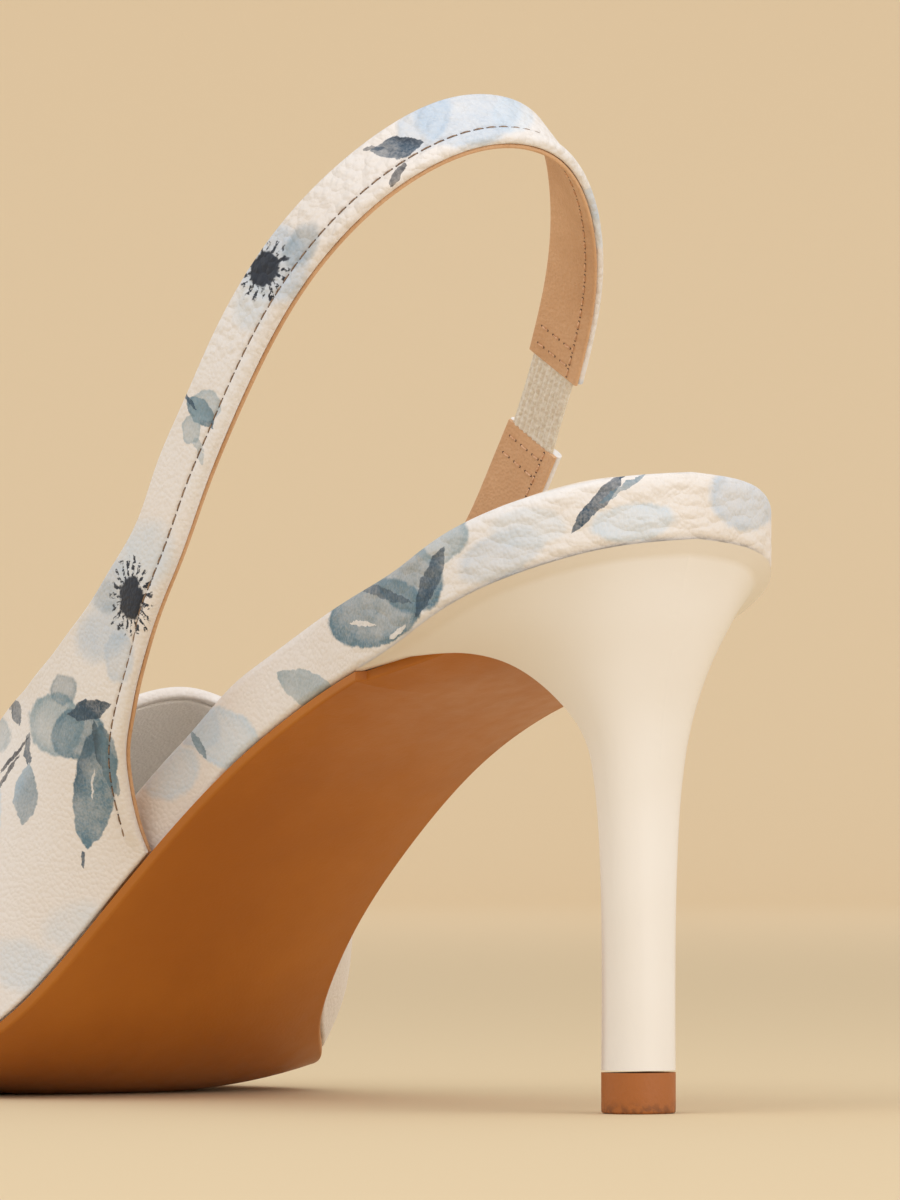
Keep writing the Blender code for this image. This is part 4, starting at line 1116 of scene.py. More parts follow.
def add_stitch(vertices, faces, start, end, out):
    """One stitch: a short thread that dives at both ends."""
    along = unit(end - start)
    side = unit(np.cross(along, out))
    length = np.linalg.norm(end - start)
    rings = []
    for share, lift, thick in STITCH_FORM:
        middle = start + along * length * share + out * THREAD * lift
        ring = []
        for k in range(6):
            turn = math.tau * k / 6
            spot = middle + (side * math.cos(turn) + out * math.sin(turn)) * THREAD * thick
            ring.append(len(vertices))
            vertices.append(tuple(spot))
        rings.append(ring)
    close_tube(faces, rings)


def add_hole(holes, spot, along, out):
    """A small dark dot, painted shade of the hole where the needle went in."""
    vertices, faces = holes
    side = unit(np.cross(along, out))
    ring = []
    for k in range(8):
        turn = math.tau * k / 8
        reach = along * math.cos(turn) * 1.1 + side * math.sin(turn)
        ring.append(len(vertices))
        vertices.append(tuple(spot + reach * HOLE + out * HOLE_LIFT))
    vertices.append(tuple(spot - out * HOLE))
    faces.append(tuple(ring))
    for k in range(8):
        faces.append((ring[(k + 1) % 8], ring[k], len(vertices) - 1))


def sew_line(vertices, faces, holes, points, outs):
    """Stitches along a line of points, at an even pitch."""
    run = run_length(points)
    count = max(1, int(run[-1] / PITCH))
    for k in range(count):
        middle = run[-1] * (k + 0.5) / count
        ends = []
        for spot in (middle - STITCH / 2.0, middle + STITCH / 2.0):
            ends.append(np.array([np.interp(spot, run, points[:, i]) for i in range(3)]))
        out = unit(np.array([np.interp(middle, run, outs[:, i]) for i in range(3)]))
        add_stitch(vertices, faces, ends[0], ends[1], out)
        along = unit(ends[1] - ends[0])
        for spot in ends:
            add_hole(holes, spot, along, out)


def seam_points(skin, start, end, distance, depth, facing):
    """A line along the upper at one distance from the rear edge, and the way out."""
    points = []
    outs = []
    for index in range(start, end + 1):
        low, high = skin.at(index, [distance, distance], [depth, depth - MM * facing])
        points.append(low)
        outs.append(unit(high - low))
    return np.array(points), np.array(outs)


def end_row(skin, end, back, depth, facing):
    """A row across a strap's end, a distance back from the elastic."""
    middle = skin.at(end, [skin.length[end] / 2.0], [depth])[0]
    step = 1 if end == 0 else -1
    index = end
    while np.linalg.norm(skin.at(index, [skin.length[index] / 2.0], [depth])[0] - middle) < back:
        index += step
    spots = np.linspace(LINING_SEAM, skin.length[index] - 1.2 * MM, ROW_STITCH_PLACES)
    points = skin.at(index, spots, np.full(ROW_STITCH_PLACES, depth))
    over = skin.at(index, spots, np.full(ROW_STITCH_PLACES, depth - MM * facing))
    return points, unit(over - points)


def build_stitching(skin):
    """Rows on the printed leather and, separately, those on the lining."""
    rows = ((0, skin.first - 1), (skin.last + 1, skin.count - 1))
    holes = ([], [])
    outside = ([], [], holes)
    for start, end in rows:
        depth = SEAM_DEPTH - THREAD * 0.2
        sew_line(*outside, *seam_points(skin, start, end, SEAM_PLACE, depth, 1))
    inside = ([], [], holes)
    depth = LINING_DEPTH + LINING
    for start, end in rows:
        sew_line(*inside, *seam_points(skin, start, end, LINING_SEAM, depth, -1))
    for end in (0, skin.count - 1):
        for back in BOX_ROWS:
            sew_line(*inside, *end_row(skin, end, back, depth, -1))
            sew_line(*outside, *end_row(skin, end, back, -THREAD * 0.2, 1))
    first = make_object("seam_thread", *outside[:2])
    second = make_object("lining_thread", *inside[:2])
    # The needle holes are dark dots, painted shade of the holes.
    return first, second, make_object("needle_holes", *holes)


def build_elastic(skin):
    """Ribbed webbing that passes a little way in between leather and lining."""
    depth = WALL / 2.0 + 0.0001
    ends = []
    for index, following in ((0, 3), (skin.count - 1, skin.count - 4)):
        middle = skin.length[index] / 2.0
        low, centre, high = skin.at(index, [middle - MM, middle, middle + MM], [depth] * 3)
        inside = skin.at(following, [skin.length[following] / 2.0], [depth])[0]
        ends.append((centre + unit(inside - centre) * LAP, unit(high - low)))
    (start, start_across), (stop, stop_across) = ends
    along = unit(stop - start)
    around = []
    for a in np.linspace(-1.0, 1.0, 6 * RIB_COUNT + 1):
        rib = RIB_HEIGHT * math.cos(math.pi * RIB_COUNT * (a + 1.0))
        edge = math.sqrt(max(0.0, 1.0 - abs(a) ** 10))
        around.append((a, 0.5 * ELASTIC_THICK * edge * 0.8 + rib * edge))
    loop = around + [(a, -h) for a, h in around[-2:0:-1]]
    vertices = []
    faces = []
    rings = []
    for share in np.linspace(0.0, 1.0, ELASTIC_STEPS * 3 + 1):
        centre = start * (1.0 - share) + stop * share
        across = start_across * (1.0 - share) + stop_across * share
        across = unit(across - along * np.dot(across, along))
        thick = unit(np.cross(along, across))
        waist = 1.0 - WAIST * math.sin(math.pi * share)
        weft = 1.0 + WEFT * math.sin(math.pi * ELASTIC_STEPS * share)
        ring = []
        for a, h in loop:
            ring.append(len(vertices))
            spot = centre + across * a * waist * ELASTIC_WIDTH / 2.0 + thick * h * weft
            vertices.append(tuple(spot))
        rings.append(ring)
    close_tube(faces, rings)
    return make_object("elastic_webbing", vertices, faces)


class Paint:
    """Small helper that adds shader nodes to one material."""

    def __init__(self, name):
        self.material = bpy.data.materials.new(name)
        self.material.use_nodes = True
        self.tree = self.material.node_tree
        self.shader = self.tree.nodes["Principled BSDF"]
        self.place = self.node("ShaderNodeTexCoord").outputs["Object"]

    def node(self, kind, **settings):
        made = self.tree.nodes.new(kind)
        for key, value in settings.items():
            setattr(made, key, value)
        return made

    def put(self, socket, value):
        if isinstance(value, bpy.types.NodeSocket):
            self.tree.links.new(value, socket)
        elif isinstance(value, (tuple, list)) and len(value) == 3 and socket.type == "RGBA":
            socket.default_value = (*value, 1.0)
        else:
            socket.default_value = value

    def math(self, operation, first, second=None, clamp=False):
        made = self.node("ShaderNodeMath", operation=operation, use_clamp=clamp)
        self.put(made.inputs[0], first)
        if second is not None:
            self.put(made.inputs[1], second)
        return made.outputs[0]

    def vector(self, operation, first, second=None, scale=None):
        made = self.node("ShaderNodeVectorMath", operation=operation)
        self.put(made.inputs[0], first)
        if second is not None:
            self.put(made.inputs[1], second)
        if scale is not None:
            self.put(made.inputs["Scale"], scale)
        return made.outputs["Value" if operation in ("DOT_PRODUCT", "LENGTH") else "Vector"]

    def noise(self, vector, scale, detail=3.0, roughness=0.55, colour=False):
        made = self.node("ShaderNodeTexNoise")
        self.put(made.inputs["Vector"], vector)
        made.inputs["Scale"].default_value = scale
        made.inputs["Detail"].default_value = detail
        made.inputs["Roughness"].default_value = roughness
        return made.outputs["Color" if colour else "Fac"]

    def cells(self, vector, scale):
        made = self.node("ShaderNodeTexVoronoi")
        self.put(made.inputs["Vector"], vector)
        made.inputs["Scale"].default_value = scale
        return made.outputs["Distance"]

    def ramp(self, value, low, high, start=0.0, end=1.0, smooth=True):
        made = self.node("ShaderNodeMapRange")
        made.interpolation_type = "SMOOTHSTEP" if smooth else "LINEAR"
        for socket, item in zip(made.inputs[:5], (value, low, high, start, end)):
            self.put(socket, item)
        return made.outputs[0]

    def split(self, vector):
        made = self.node("ShaderNodeSeparateXYZ")
        self.put(made.inputs[0], vector)
        return made.outputs

    def mix(self, share, first, second):
        made = self.node("ShaderNodeMix", data_type="RGBA")
        self.put(made.inputs[0], share)
        self.put(made.inputs[6], first)
        self.put(made.inputs[7], second)
        return made.outputs[2]

    def choose(self, share, first, second):
        made = self.node("ShaderNodeMix", data_type="VECTOR")
        self.put(made.inputs[0], share)
        self.put(made.inputs[4], first)
        self.put(made.inputs[5], second)
        return made.outputs[1]

    def bump(self, height, distance, strength=1.0, under=None):
        made = self.node("ShaderNodeBump")
        made.inputs["Distance"].default_value = distance
        made.inputs["Strength"].default_value = strength
        self.put(made.inputs["Height"], height)
        if under is not None:
            self.put(made.inputs["Normal"], under)
        return made.outputs["Normal"]

    def set(self, **values):
        for key, value in values.items():
            self.put(self.shader.inputs[key.replace("_", " ")], value)


def paint_colour(red, green, blue):
    """Colour from its screen values, 0 to 255."""
    answer = []
    for value in (red, green, blue):
        share = value / 255.0
        answer.append(share / 12.92 if share <= 0.04045 else ((share + 0.055) / 1.055) ** 2.4)
    return tuple(answer)


WHITE = paint_colour(236, 232, 229)
CREAM = paint_colour(231, 223, 215)
SKY = paint_colour(160, 190, 218)
PALE_SKY = paint_colour(200, 217, 232)
TEAL = paint_colour(96, 128, 146)
GREY_LEAF = paint_colour(140, 163, 174)
DEEP = paint_colour(46, 74, 96)
NAVY = paint_colour(30, 38, 52)
FRONT = 0.128              # ahead of this the vamp's top is charted from above
INNER = -0.008             # beyond this the inner side has its own chart
BACK = -0.004              # behind this the band keeps the outer side's chart
CHART_STEP = 1000.0        # keeps the charts apart
VIEW_TURN = math.radians(53)  # line of sight, turned from the shoe's own side
SIGHT = np.array((math.sin(VIEW_TURN), -math.cos(VIEW_TURN), 0.0))
RIGHT = np.array((-math.cos(VIEW_TURN), -math.sin(VIEW_TURN), 0.0))
CHAIN = 4                  # layers of paint that the renderer may hold at a time
TRACE = 1e-6               # share of the colour so far that moves the chart


class Print(Paint):
    """Watercolour flowers on leather, drawn in a flat chart measured in millimetres.

    The outer side is charted along the line of sight of the outer back quarter,
    the inner side by length and height, the top of the vamp by length and width.
    """

    def __init__(self, name):
        super().__init__(name)
        x, y, z = self.split(self.place)
        self.x, self.z = x, z
        right = self.math("ADD", self.math("MULTIPLY", x, float(RIGHT[0]) / MM),
                          self.math("MULTIPLY", y, float(RIGHT[1]) / MM))
        height = self.math("MULTIPLY", z, 1.0 / MM)
        outer = self.combine(right, height)
        length = self.math("MULTIPLY", x, 1.0 / MM)
        inner = self.combine(self.math("ADD", length, CHART_STEP), height)
        top = self.combine(self.math("ADD", length, 2.0 * CHART_STEP),
                           self.math("MULTIPLY", y, 1.0 / MM))
        is_inner = self.math("MULTIPLY", self.math("LESS_THAN", y, INNER),
                             self.math("GREATER_THAN", x, BACK))
        chart = self.choose(is_inner, outer, inner)
        chart = self.choose(self.math("GREATER_THAN", x, FRONT), chart, top)
        self.flat = chart
        self.layers = 0
        wobble = self.noise(self.place, 420.0, 4.0, 0.6, colour=True)
        wobble = self.vector("SUBTRACT", wobble, (0.5, 0.5, 0.5))
        wobble = self.vector("MULTIPLY", wobble, (1.6, 1.6, 0.0))
        self.chart = self.vector("ADD", chart, wobble)
        blot = self.noise(self.place, 170.0, 5.0, 0.62)
        mottle = self.ramp(blot, 0.3, 0.7, 0.62, 1.08, smooth=False)
        grain = self.noise(self.place, 2600.0, 2.0, 0.6)
        speck = self.ramp(grain, 0.35, 0.65, 0.86, 1.08, smooth=False)
        self.load = self.math("MULTIPLY", mottle, speck)
        tone = self.ramp(self.noise(self.place, 26.0, 3.0, 0.5), 0.35, 0.65)
        self.ink = self.mix(tone, WHITE, CREAM)

    def combine(self, first, second):
        made = self.node("ShaderNodeCombineXYZ")
        self.put(made.inputs[0], first)
        self.put(made.inputs[1], second)
        return made.outputs[0]

    def own(self, centre, size, turn):
        """Chart coordinates round a motif, one at its outline."""
        made = self.node("ShaderNodeMapping", vector_type="TEXTURE")
        self.put(made.inputs["Vector"], self.chart)
        made.inputs["Location"].default_value = (centre[0], centre[1], 0.0)
        made.inputs["Rotation"].default_value = (0.0, 0.0, math.radians(turn))
        made.inputs["Scale"].default_value = (size[0], size[1], 1.0)
        return made.outputs[0]

    def lay(self, share, colour, plain=False):
        amount = share if plain else self.math("MULTIPLY", share, self.load, clamp=True)
        self.ink = self.mix(amount, self.ink, colour)
        self.layers += 1
        if self.layers % CHAIN == 0:
            # A trace of the colour so far makes the renderer work through them in turn.
            trace = self.vector("SCALE", self.ink, scale=TRACE)
            self.chart = self.vector("ADD", self.chart, trace)

    def wash(self, centre, size, turn, colour, strength=0.7, soft=0.35):
        """A wet round patch, a little stronger inside its rim."""
        reach = self.vector("LENGTH", self.own(centre, size, turn))
        inside = self.ramp(reach, 1.0, 1.0 - soft, 0.0, strength)
        rim = self.ramp(reach, 0.55, 0.95, 0.8, 1.12)
        self.lay(self.math("MULTIPLY", inside, rim), colour)

    def leaf(self, centre, size, turn, colour, strength=0.9, dark=DEEP, vein=0.55, power=2.0):
        """A pointed leaf with darker tip and vein; size is half length and half width."""
        along, across, _ = self.split(self.own(centre, size, turn))
        wide = self.math("ABSOLUTE", across)
        far = self.math("POWER", self.math("ABSOLUTE", along), power)
        reach = self.math("ADD", wide, far)
        inside = self.ramp(reach, 1.0, 0.9, 0.0, strength)
        self.lay(inside, colour)
        shade = self.ramp(self.math("ADD", along, across), 0.0, 1.2, 0.0, vein)
        self.lay(self.math("MULTIPLY", shade, inside), dark)

    def stem(self, start, end, wide, colour, strength=0.9):
        """A thin tapering line between two places of the chart."""
        span = (end[0] - start[0], end[1] - start[1])
        half = math.hypot(*span) / 2.0
        centre = ((start[0] + end[0]) / 2.0, (start[1] + end[1]) / 2.0)
        turn = math.degrees(math.atan2(span[1], span[0]))
        self.leaf(centre, (half, wide), turn, colour, strength, vein=0.0, power=4.0)

    def burst(self, centre, size, turn=0.0, strokes=19):
        """Dark stamens round a dark heart."""
        local = self.own(centre, size, turn)
        reach = self.vector("LENGTH", local)
        along, across, _ = self.split(local)
        angle = self.math("ARCTAN2", across, along)
        wave = self.math("SINE", self.math("MULTIPLY", angle, float(strokes)))
        uneven = self.noise(self.flat, 0.55, 2.0, 0.7)
        outer = self.math("ADD", self.math("MULTIPLY", uneven, 0.9), 0.52)
        ray = self.ramp(wave, -0.05, 0.35)
        within = self.ramp(self.math("SUBTRACT", outer, reach), -0.06, 0.06)
        ray = self.math("MULTIPLY", ray, within)
        gap = self.ramp(self.noise(self.flat, 1.3, 3.0, 0.7), 0.44, 0.5)
        ray = self.math("MULTIPLY", ray, gap)
        heart = self.ramp(self.math("ADD", reach, self.math("MULTIPLY", uneven, 0.3)), 0.74, 0.64)
        self.lay(self.math("MAXIMUM", ray, heart), NAVY, plain=True)


def leather_bump(paint):
    """Pebbled grain, strongest over the heel and at the top of the strap."""
    warp = paint.noise(paint.place, 260.0, 2.0, 0.5, colour=True)
    warp = paint.vector("SCALE", paint.vector("SUBTRACT", warp, (0.5, 0.5, 0.5)), scale=0.0011)
    moved = paint.vector("ADD", paint.place, warp)
    pebbles = paint.cells(moved, 620.0)
    folds = paint.cells(paint.vector("MULTIPLY", moved, (0.42, 0.42, 1.0)), 560.0)
    fine = paint.cells(moved, 1500.0)
    back = paint.ramp(paint.x, 0.060, 0.012)
    high = paint.ramp(paint.z, 0.088, 0.122)
    back = paint.math("MULTIPLY", back, paint.math("SUBTRACT", 1.0, high))
    grain = paint.math("ADD", paint.math("MULTIPLY", pebbles, high),
                       paint.math("MULTIPLY", folds, back))
    rest = paint.math("MULTIPLY", fine, 0.22)
    height = paint.math("MULTIPLY", paint.math("ADD", grain, rest), -1.0)
    first = paint.bump(height, 0.00075, 0.6)
    stretch = paint.vector("MULTIPLY", paint.place, (1.0, 1.0, 0.22))
    lines = paint.noise(stretch, 900.0, 3.0, 0.65)
    return paint.bump(lines, 0.00018, 0.35, under=first)


def printed_leather():
    paint = Print("printed_leather")
    # Strap, from its top down to the wing.
    paint.wash((-24.0, 141.0), (8.5, 6.5), 10, SKY, 0.55, 0.22)
    paint.wash((-30.0, 139.0), (3.6, 5.6), -35, SKY, 0.50, 0.25)
    paint.wash((-17.5, 140.5), (3.5, 3.2), 0, PALE_SKY, 0.55, 0.3)
    paint.stem((-38.6, 135.2), (-35.6, 135.4), 0.35, NAVY)
    paint.leaf((-33.9, 135.3), (3.9, 1.75), 8, DEEP, 1.0, NAVY, 0.85)
    paint.stem((-34.9, 129.6), (-32.6, 133.0), 0.6, NAVY)
    paint.wash((-51.5, 119.5), (6.0, 7.5), 30, SKY, 0.62, 0.4)
    paint.wash((-47.2, 121.6), (4.2, 2.6), 60, TEAL, 0.60, 0.4)
    paint.wash((-54.5, 113.5), (3.2, 4.6), -10, PALE_SKY, 0.55, 0.5)
    paint.burst((-52.6, 118.5), (3.6, 4.9), -10, 17)
    paint.leaf((-61.9, 98.6), (3.2, 1.5), -50, TEAL, 0.95, DEEP, 0.6)
    paint.wash((-61.0, 99.4), (2.4, 2.4), 0, GREY_LEAF, 0.7, 0.15)
    paint.wash((-63.2, 96.2), (1.6, 2.1), 10, GREY_LEAF, 0.75, 0.15)
    paint.stem((-64.8, 102.2), (-62.4, 99.0), 0.3, DEEP)
    paint.stem((-62.6, 95.4), (-61.4, 91.0), 0.5, GREY_LEAF, 0.6)
    # Wing, round the large stamens.
    paint.wash((-70.0, 78.5), (5.2, 6.5), -15, PALE_SKY, 0.7, 0.5)
    paint.wash((-75.6, 74.5), (4.2, 4.6), 20, SKY, 0.55, 0.4)
    paint.wash((-76.4, 67.5), (5.6, 4.6), 50, SKY, 0.55, 0.5)
    paint.wash((-73.8, 64.0), (2.6, 4.2), 0, SKY, 0.5, 0.3)
    paint.wash((-75.6, 72.6), (2.4, 3.0), 30, TEAL, 0.45, 0.5)
    paint.burst((-72.0, 72.4), (3.2, 5.9), 0, 19)
    # Cluster of large leaves below it.
    paint.wash((-83.6, 54.6), (4.4, 4.9), 25, GREY_LEAF, 0.95, 0.12)
    paint.wash((-82.4, 59.5), (2.3, 2.6), 0, TEAL, 0.75, 0.2)
    paint.wash((-80.2, 53.2), (4.4, 3.9), 20, TEAL, 1.0, 0.12)
    paint.leaf((-78.4, 56.6), (3.4, 1.6), 15, DEEP, 1.0, NAVY, 0.3)
    paint.leaf((-77.7, 45.6), (9.2, 3.3), 83, TEAL, 1.0, DEEP, 0.6, 3.0)
    paint.leaf((-76.0, 49.6), (6.0, 1.3), 108, TEAL, 0.95, NAVY, 0.7)
    paint.leaf((-77.9, 45.8), (2.4, 0.2), 84, WHITE, 0.9, WHITE, 0.0)
    paint.stem((-79.6, 36.6), (-79.2, 33.6), 0.28, DEEP)
    paint.leaf((-88.2, 44.4), (4.6, 2.0), 85, TEAL, 0.85, PALE_SKY, 0.6)
    paint.stem((-88.0, 48.6), (-87.9, 53.6), 0.45, DEEP)
    paint.leaf((-90.0, 56.8), (2.4, 0.9), 110, DEEP, 0.8, NAVY, 0.5)
    paint.stem((-92.5, 47.4), (-87.8, 52.8), 0.32, NAVY)
    paint.stem((-93.0, 45.0), (-89.2, 50.4), 0.24, NAVY)
    paint.wash((-93.6, 53.4), (3.0, 3.4), 30, GREY_LEAF, 0.7, 0.2)
    paint.wash((-94.2, 42.4), (2.6, 5.2), 0, PALE_SKY, 0.8, 0.2)
    paint.wash((-80.8, 25.5), (6.2, 4.2), 20, PALE_SKY, 0.5, 0.6)
    paint.wash((-88.5, 19.5), (7.5, 4.6), -15, PALE_SKY, 0.6, 0.5)
    # Band round the footbed.
    paint.wash((-63.6, 55.0), (5.6, 3.6), -40, SKY, 0.55, 0.2)
    paint.wash((-58.6, 52.4), (6.0, 4.4), -30, PALE_SKY, 0.85, 0.15)
    paint.wash((-66.6, 47.6), (5.2, 4.2), 40, PALE_SKY, 0.8, 0.3)
    paint.leaf((-62.6, 51.6), (2.6, 0.6), -60, TEAL, 0.75, DEEP, 0.3)
    paint.leaf((-46.6, 59.3), (5.4, 2.6), -26, GREY_LEAF, 0.8, PALE_SKY, 0.2)
    paint.wash((-36.9, 69.6), (7.0, 4.9), 15, TEAL, 1.0, 0.08)
    paint.wash((-32.0, 74.2), (4.6, 5.4), 40, TEAL, 1.0, 0.12)
    paint.wash((-27.6, 79.6), (4.2, 3.6), 30, GREY_LEAF, 0.8, 0.15)
    paint.leaf((-29.2, 73.6), (5.4, 1.3), 68, DEEP, 1.0, NAVY, 0.3)
    paint.leaf((-36.2, 72.6), (5.2, 0.8), -22, DEEP, 0.8, NAVY, 0.3)
    paint.leaf((-38.6, 68.2), (2.2, 0.45), -10, WHITE, 1.0, WHITE, 0.0)
    paint.leaf((-33.6, 66.8), (1.5, 0.5), 40, WHITE, 1.0, WHITE, 0.0)
    paint.wash((-19.5, 77.0), (7.0, 3.6), 25, SKY, 0.42, 0.3)
    paint.wash((-15.6, 80.8), (6.0, 3.2), 5, PALE_SKY, 0.5, 0.35)
    paint.leaf((-6.0, 84.4), (5.8, 1.0), 48, DEEP, 1.0, NAVY, 0.3, 3.0)
    paint.leaf((-2.3, 90.0), (3.0, 0.8), 78, DEEP, 1.0, TEAL, 0.5, 3.0)
    paint.stem((-6.2, 84.0), (0.6, 88.4), 0.4, TEAL, 0.8)
    paint.wash((-1.2, 81.6), (6.6, 3.0), 8, PALE_SKY, 0.75, 0.25)
    paint.wash((14.6, 85.6), (5.6, 5.2), 0, SKY, 0.5, 0.2)
    scatter(paint, CHART_STEP, INNER_SIDE, 1.5, (1.0, -1.0, 1.2), 0.55)
    scatter(paint, 2.0 * CHART_STEP, VAMP_TOP, 1.3, (-1.0, 0.6, 0.8), 0.5)
    paint.set(Base_Color=paint.ink, Normal=leather_bump(paint))
    sheen = paint.ramp(paint.noise(paint.place, 700.0, 3.0), 0.3, 0.7, 0.42, 0.58, smooth=False)
    paint.set(Roughness=sheen, Specular_IOR_Level=0.42, Coat_Weight=0.06, Coat_Roughness=0.35)
    return paint.material


# Motifs out of the photograph's sight, in millimetres of their own chart.
# Patches: place, turn, width. Bursts: place, size, turn, strokes.
# Leaves: place, half length, half width, turn. Stems: both ends, width.
INNER_SIDE = (
    ((52.0, 104.0, 40, 3.4), (30.0, 128.0, 60, 3.0), (98.0, 50.0, 20, 6.5),
     (118.0, 24.0, -30, 6.0), (78.0, 60.0, 0, 3.6)),
    ((97.0, 51.0, 4.4, 4.0, 20, 19), (53.0, 104.0, 2.8, 3.2, 0, 17)),
    ((88.0, 36.0, 7.5, 2.6, 70), (94.0, 33.0, 6.5, 2.2, 120), (112.0, 36.0, 7.0, 2.6, 20),
     (64.0, 78.0, 4.5, 1.6, 130), (14.0, 76.0, 5.5, 2.6, 10),
     (44.0, 69.0, 5.5, 2.2, -30), (70.0, 51.0, 5.0, 2.2, -40)),
    ((86.0, 27.0, 92.0, 44.0, 0.4), (104.0, 44.0, 116.0, 34.0, 0.4)),
)
VAMP_TOP = (
    ((146.0, 8.0, 20, 9.0), (178.0, -10.0, -20, 7.5), (202.0, 3.0, 0, 5.0),
     (140.0, -24.0, 40, 7.0)),
    ((147.0, 9.0, 4.6, 4.6, 10, 19), (179.0, -10.0, 3.6, 3.6, 40, 17)),
    ((160.0, 20.0, 8.0, 3.0, 40), (168.0, 14.0, 7.0, 2.4, -20), (158.0, -6.0, 7.5, 2.8, 200),
     (192.0, 10.0, 6.0, 2.2, 160), (205.0, -4.0, 4.5, 1.6, 30), (142.0, -12.0, 7.0, 2.6, 110),
     (134.0, 26.0, 7.0, 2.6, 70)),
    ((152.0, 14.0, 168.0, 22.0, 0.4), (184.0, -4.0, 196.0, 8.0, 0.35)),
)


def scatter(paint, chart, motifs, long, second, strength):
    """Motifs of one chart; second places each patch's paler neighbour, in widths."""
    patches, bursts, leaves, stems = motifs
    right, up, high = second
    for x, y, turn, wide in patches:
        paint.wash((chart + x, y), (wide * long, wide), turn, SKY, strength, 0.35)
        neighbour = (chart + x + wide * right, y + wide * up)
        paint.wash(neighbour, (wide, wide * high), turn, PALE_SKY, 0.6, 0.3)
    for x, y, wide, tall, turn, strokes in bursts:
        paint.burst((chart + x, y), (wide, tall), turn, strokes)
    for x, y, half, wide, turn in leaves:
        paint.leaf((chart + x, y), (half, wide), turn, TEAL, 0.95, DEEP, 0.6)
    for x, y, end_x, end_y, wide in stems:
        paint.stem((chart + x, y), (chart + end_x, end_y), wide, DEEP)


def smooth_leather(name, light, dark, grain, roughness, inside=None):
    """Plain leather with a fine grain and uneven dye; inside is its colour in the vamp."""
    paint = Paint(name)
    tone = paint.ramp(paint.noise(paint.place, 90.0, 4.0, 0.6), 0.3, 0.7)
    fibre = paint.ramp(paint.noise(paint.place, 2200.0, 3.0, 0.7), 0.35, 0.65, 0.0, 0.35)
    colour = paint.mix(fibre, paint.mix(tone, light, dark), dark)
    if inside:
        ahead = paint.split(paint.place)[0]
        colour = paint.mix(paint.ramp(ahead, *LINING_CHANGE), colour, inside)
    pores = paint.bump(paint.cells(paint.place, grain), 0.00022, 0.5)
    normal = paint.bump(paint.noise(paint.place, 600.0, 4.0, 0.6), 0.00025, 0.3, under=pores)
    paint.set(Base_Color=colour, Roughness=roughness, Normal=normal, Specular_IOR_Level=0.35)
    return paint.material


def sole_material():
    """Moulded brown sole, satin, with faint clouding and a fine texture."""
    paint = Paint("moulded_sole")
    cloud = paint.ramp(paint.noise(paint.place, 28.0, 4.0, 0.55), 0.3, 0.7)
    colour = paint.mix(cloud, paint_colour(186, 112, 26), paint_colour(172, 100, 20))
    fine = paint.noise(paint.place, 1800.0, 3.0, 0.6)
    normal = paint.bump(fine, 0.00008, 0.35)
    rough = paint.ramp(paint.noise(paint.place, 300.0, 4.0), 0.3, 0.7, 0.34, 0.44, smooth=False)
    paint.set(Base_Color=colour, Roughness=rough, Normal=normal, Specular_IOR_Level=0.45)
    return paint.material


def heel_material():
    """Lacquered cream heel."""
    paint = Paint("lacquered_heel")
    tone = paint.ramp(paint.noise(paint.place, 40.0, 2.0, 0.5), 0.3, 0.7)
    colour = paint.mix(tone, paint_colour(240, 235, 228), paint_colour(237, 231, 222))
    peel = paint.bump(paint.noise(paint.place, 240.0, 1.0, 0.4), 0.00008, 0.08)
    rough = paint.ramp(paint.noise(paint.place, 60.0, 2.0), 0.3, 0.7, 0.29, 0.33, smooth=False)
    paint.set(Base_Color=colour, Roughness=rough, Normal=peel, Specular_IOR_Level=0.5)
    paint.set(Coat_Weight=0.35, Coat_Roughness=0.16)
    return paint.material


def tip_material():
    """Tan rubber top piece, scuffed towards the floor."""
    paint = Paint("worn_rubber")
    low = paint.ramp(paint.split(paint.place)[2], SCUFF_TOP, 0.0, 0.0, 1.0)
    scuff = paint.math("MULTIPLY", low, paint.ramp(paint.noise(paint.place, 900.0, 4.0), 0.4, 0.6))
    colour = paint.mix(scuff, paint_colour(168, 98, 40), paint_colour(124, 71, 30))
    normal = paint.bump(paint.noise(paint.place, 1500.0, 4.0), 0.0001, 0.6)
    paint.set(Base_Color=colour, Roughness=0.5, Normal=normal)
    return paint.material


def webbing_material():
    """Off-white elastic with fuzzy yarn."""
    paint = Paint("elastic_yarn")
    yarn = paint.noise(paint.place, 1500.0, 5.0, 0.75)
    speck = paint.ramp(yarn, 0.35, 0.65)
    colour = paint.mix(speck, paint_colour(228, 213, 188), paint_colour(250, 243, 228))
    rough = paint.bump(yarn, 0.0005, 0.8)
    paint.set(Base_Color=colour, Roughness=0.95, Normal=rough)
    paint.set(Sheen_Weight=0.4, Sheen_Roughness=0.5)
    return paint.material


def thread_material(name, light, dark):
    paint = Paint(name)
    twist = paint.ramp(paint.noise(paint.place, 2600.0, 3.0, 0.7), 0.35, 0.65)
    normal = paint.bump(twist, 0.0001, 0.6)
    paint.set(Base_Color=paint.mix(twist, light, dark), Roughness=0.75, Normal=normal)
    return paint.material


def build_light(name, right, near, height, size, power, target):
    """A soft lamp, placed to the right of the shoe and nearer than it to the camera."""
    spot = RIGHT * right - SIGHT * near + (SHOE_MIDDLE[0], 0.0, height)
    data = bpy.data.lights.new(name, "AREA")
    data.shape = "RECTANGLE"
    data.size, data.size_y = size
    data.energy = power
    data.color = LAMP_COLOUR
    lamp = bpy.data.objects.new(name, data)
    bpy.context.collection.objects.link(lamp)
    lamp.location = spot
    lamp.rotation_euler = (Vector(target) - Vector(spot)).to_track_quat("-Z", "Y").to_euler()


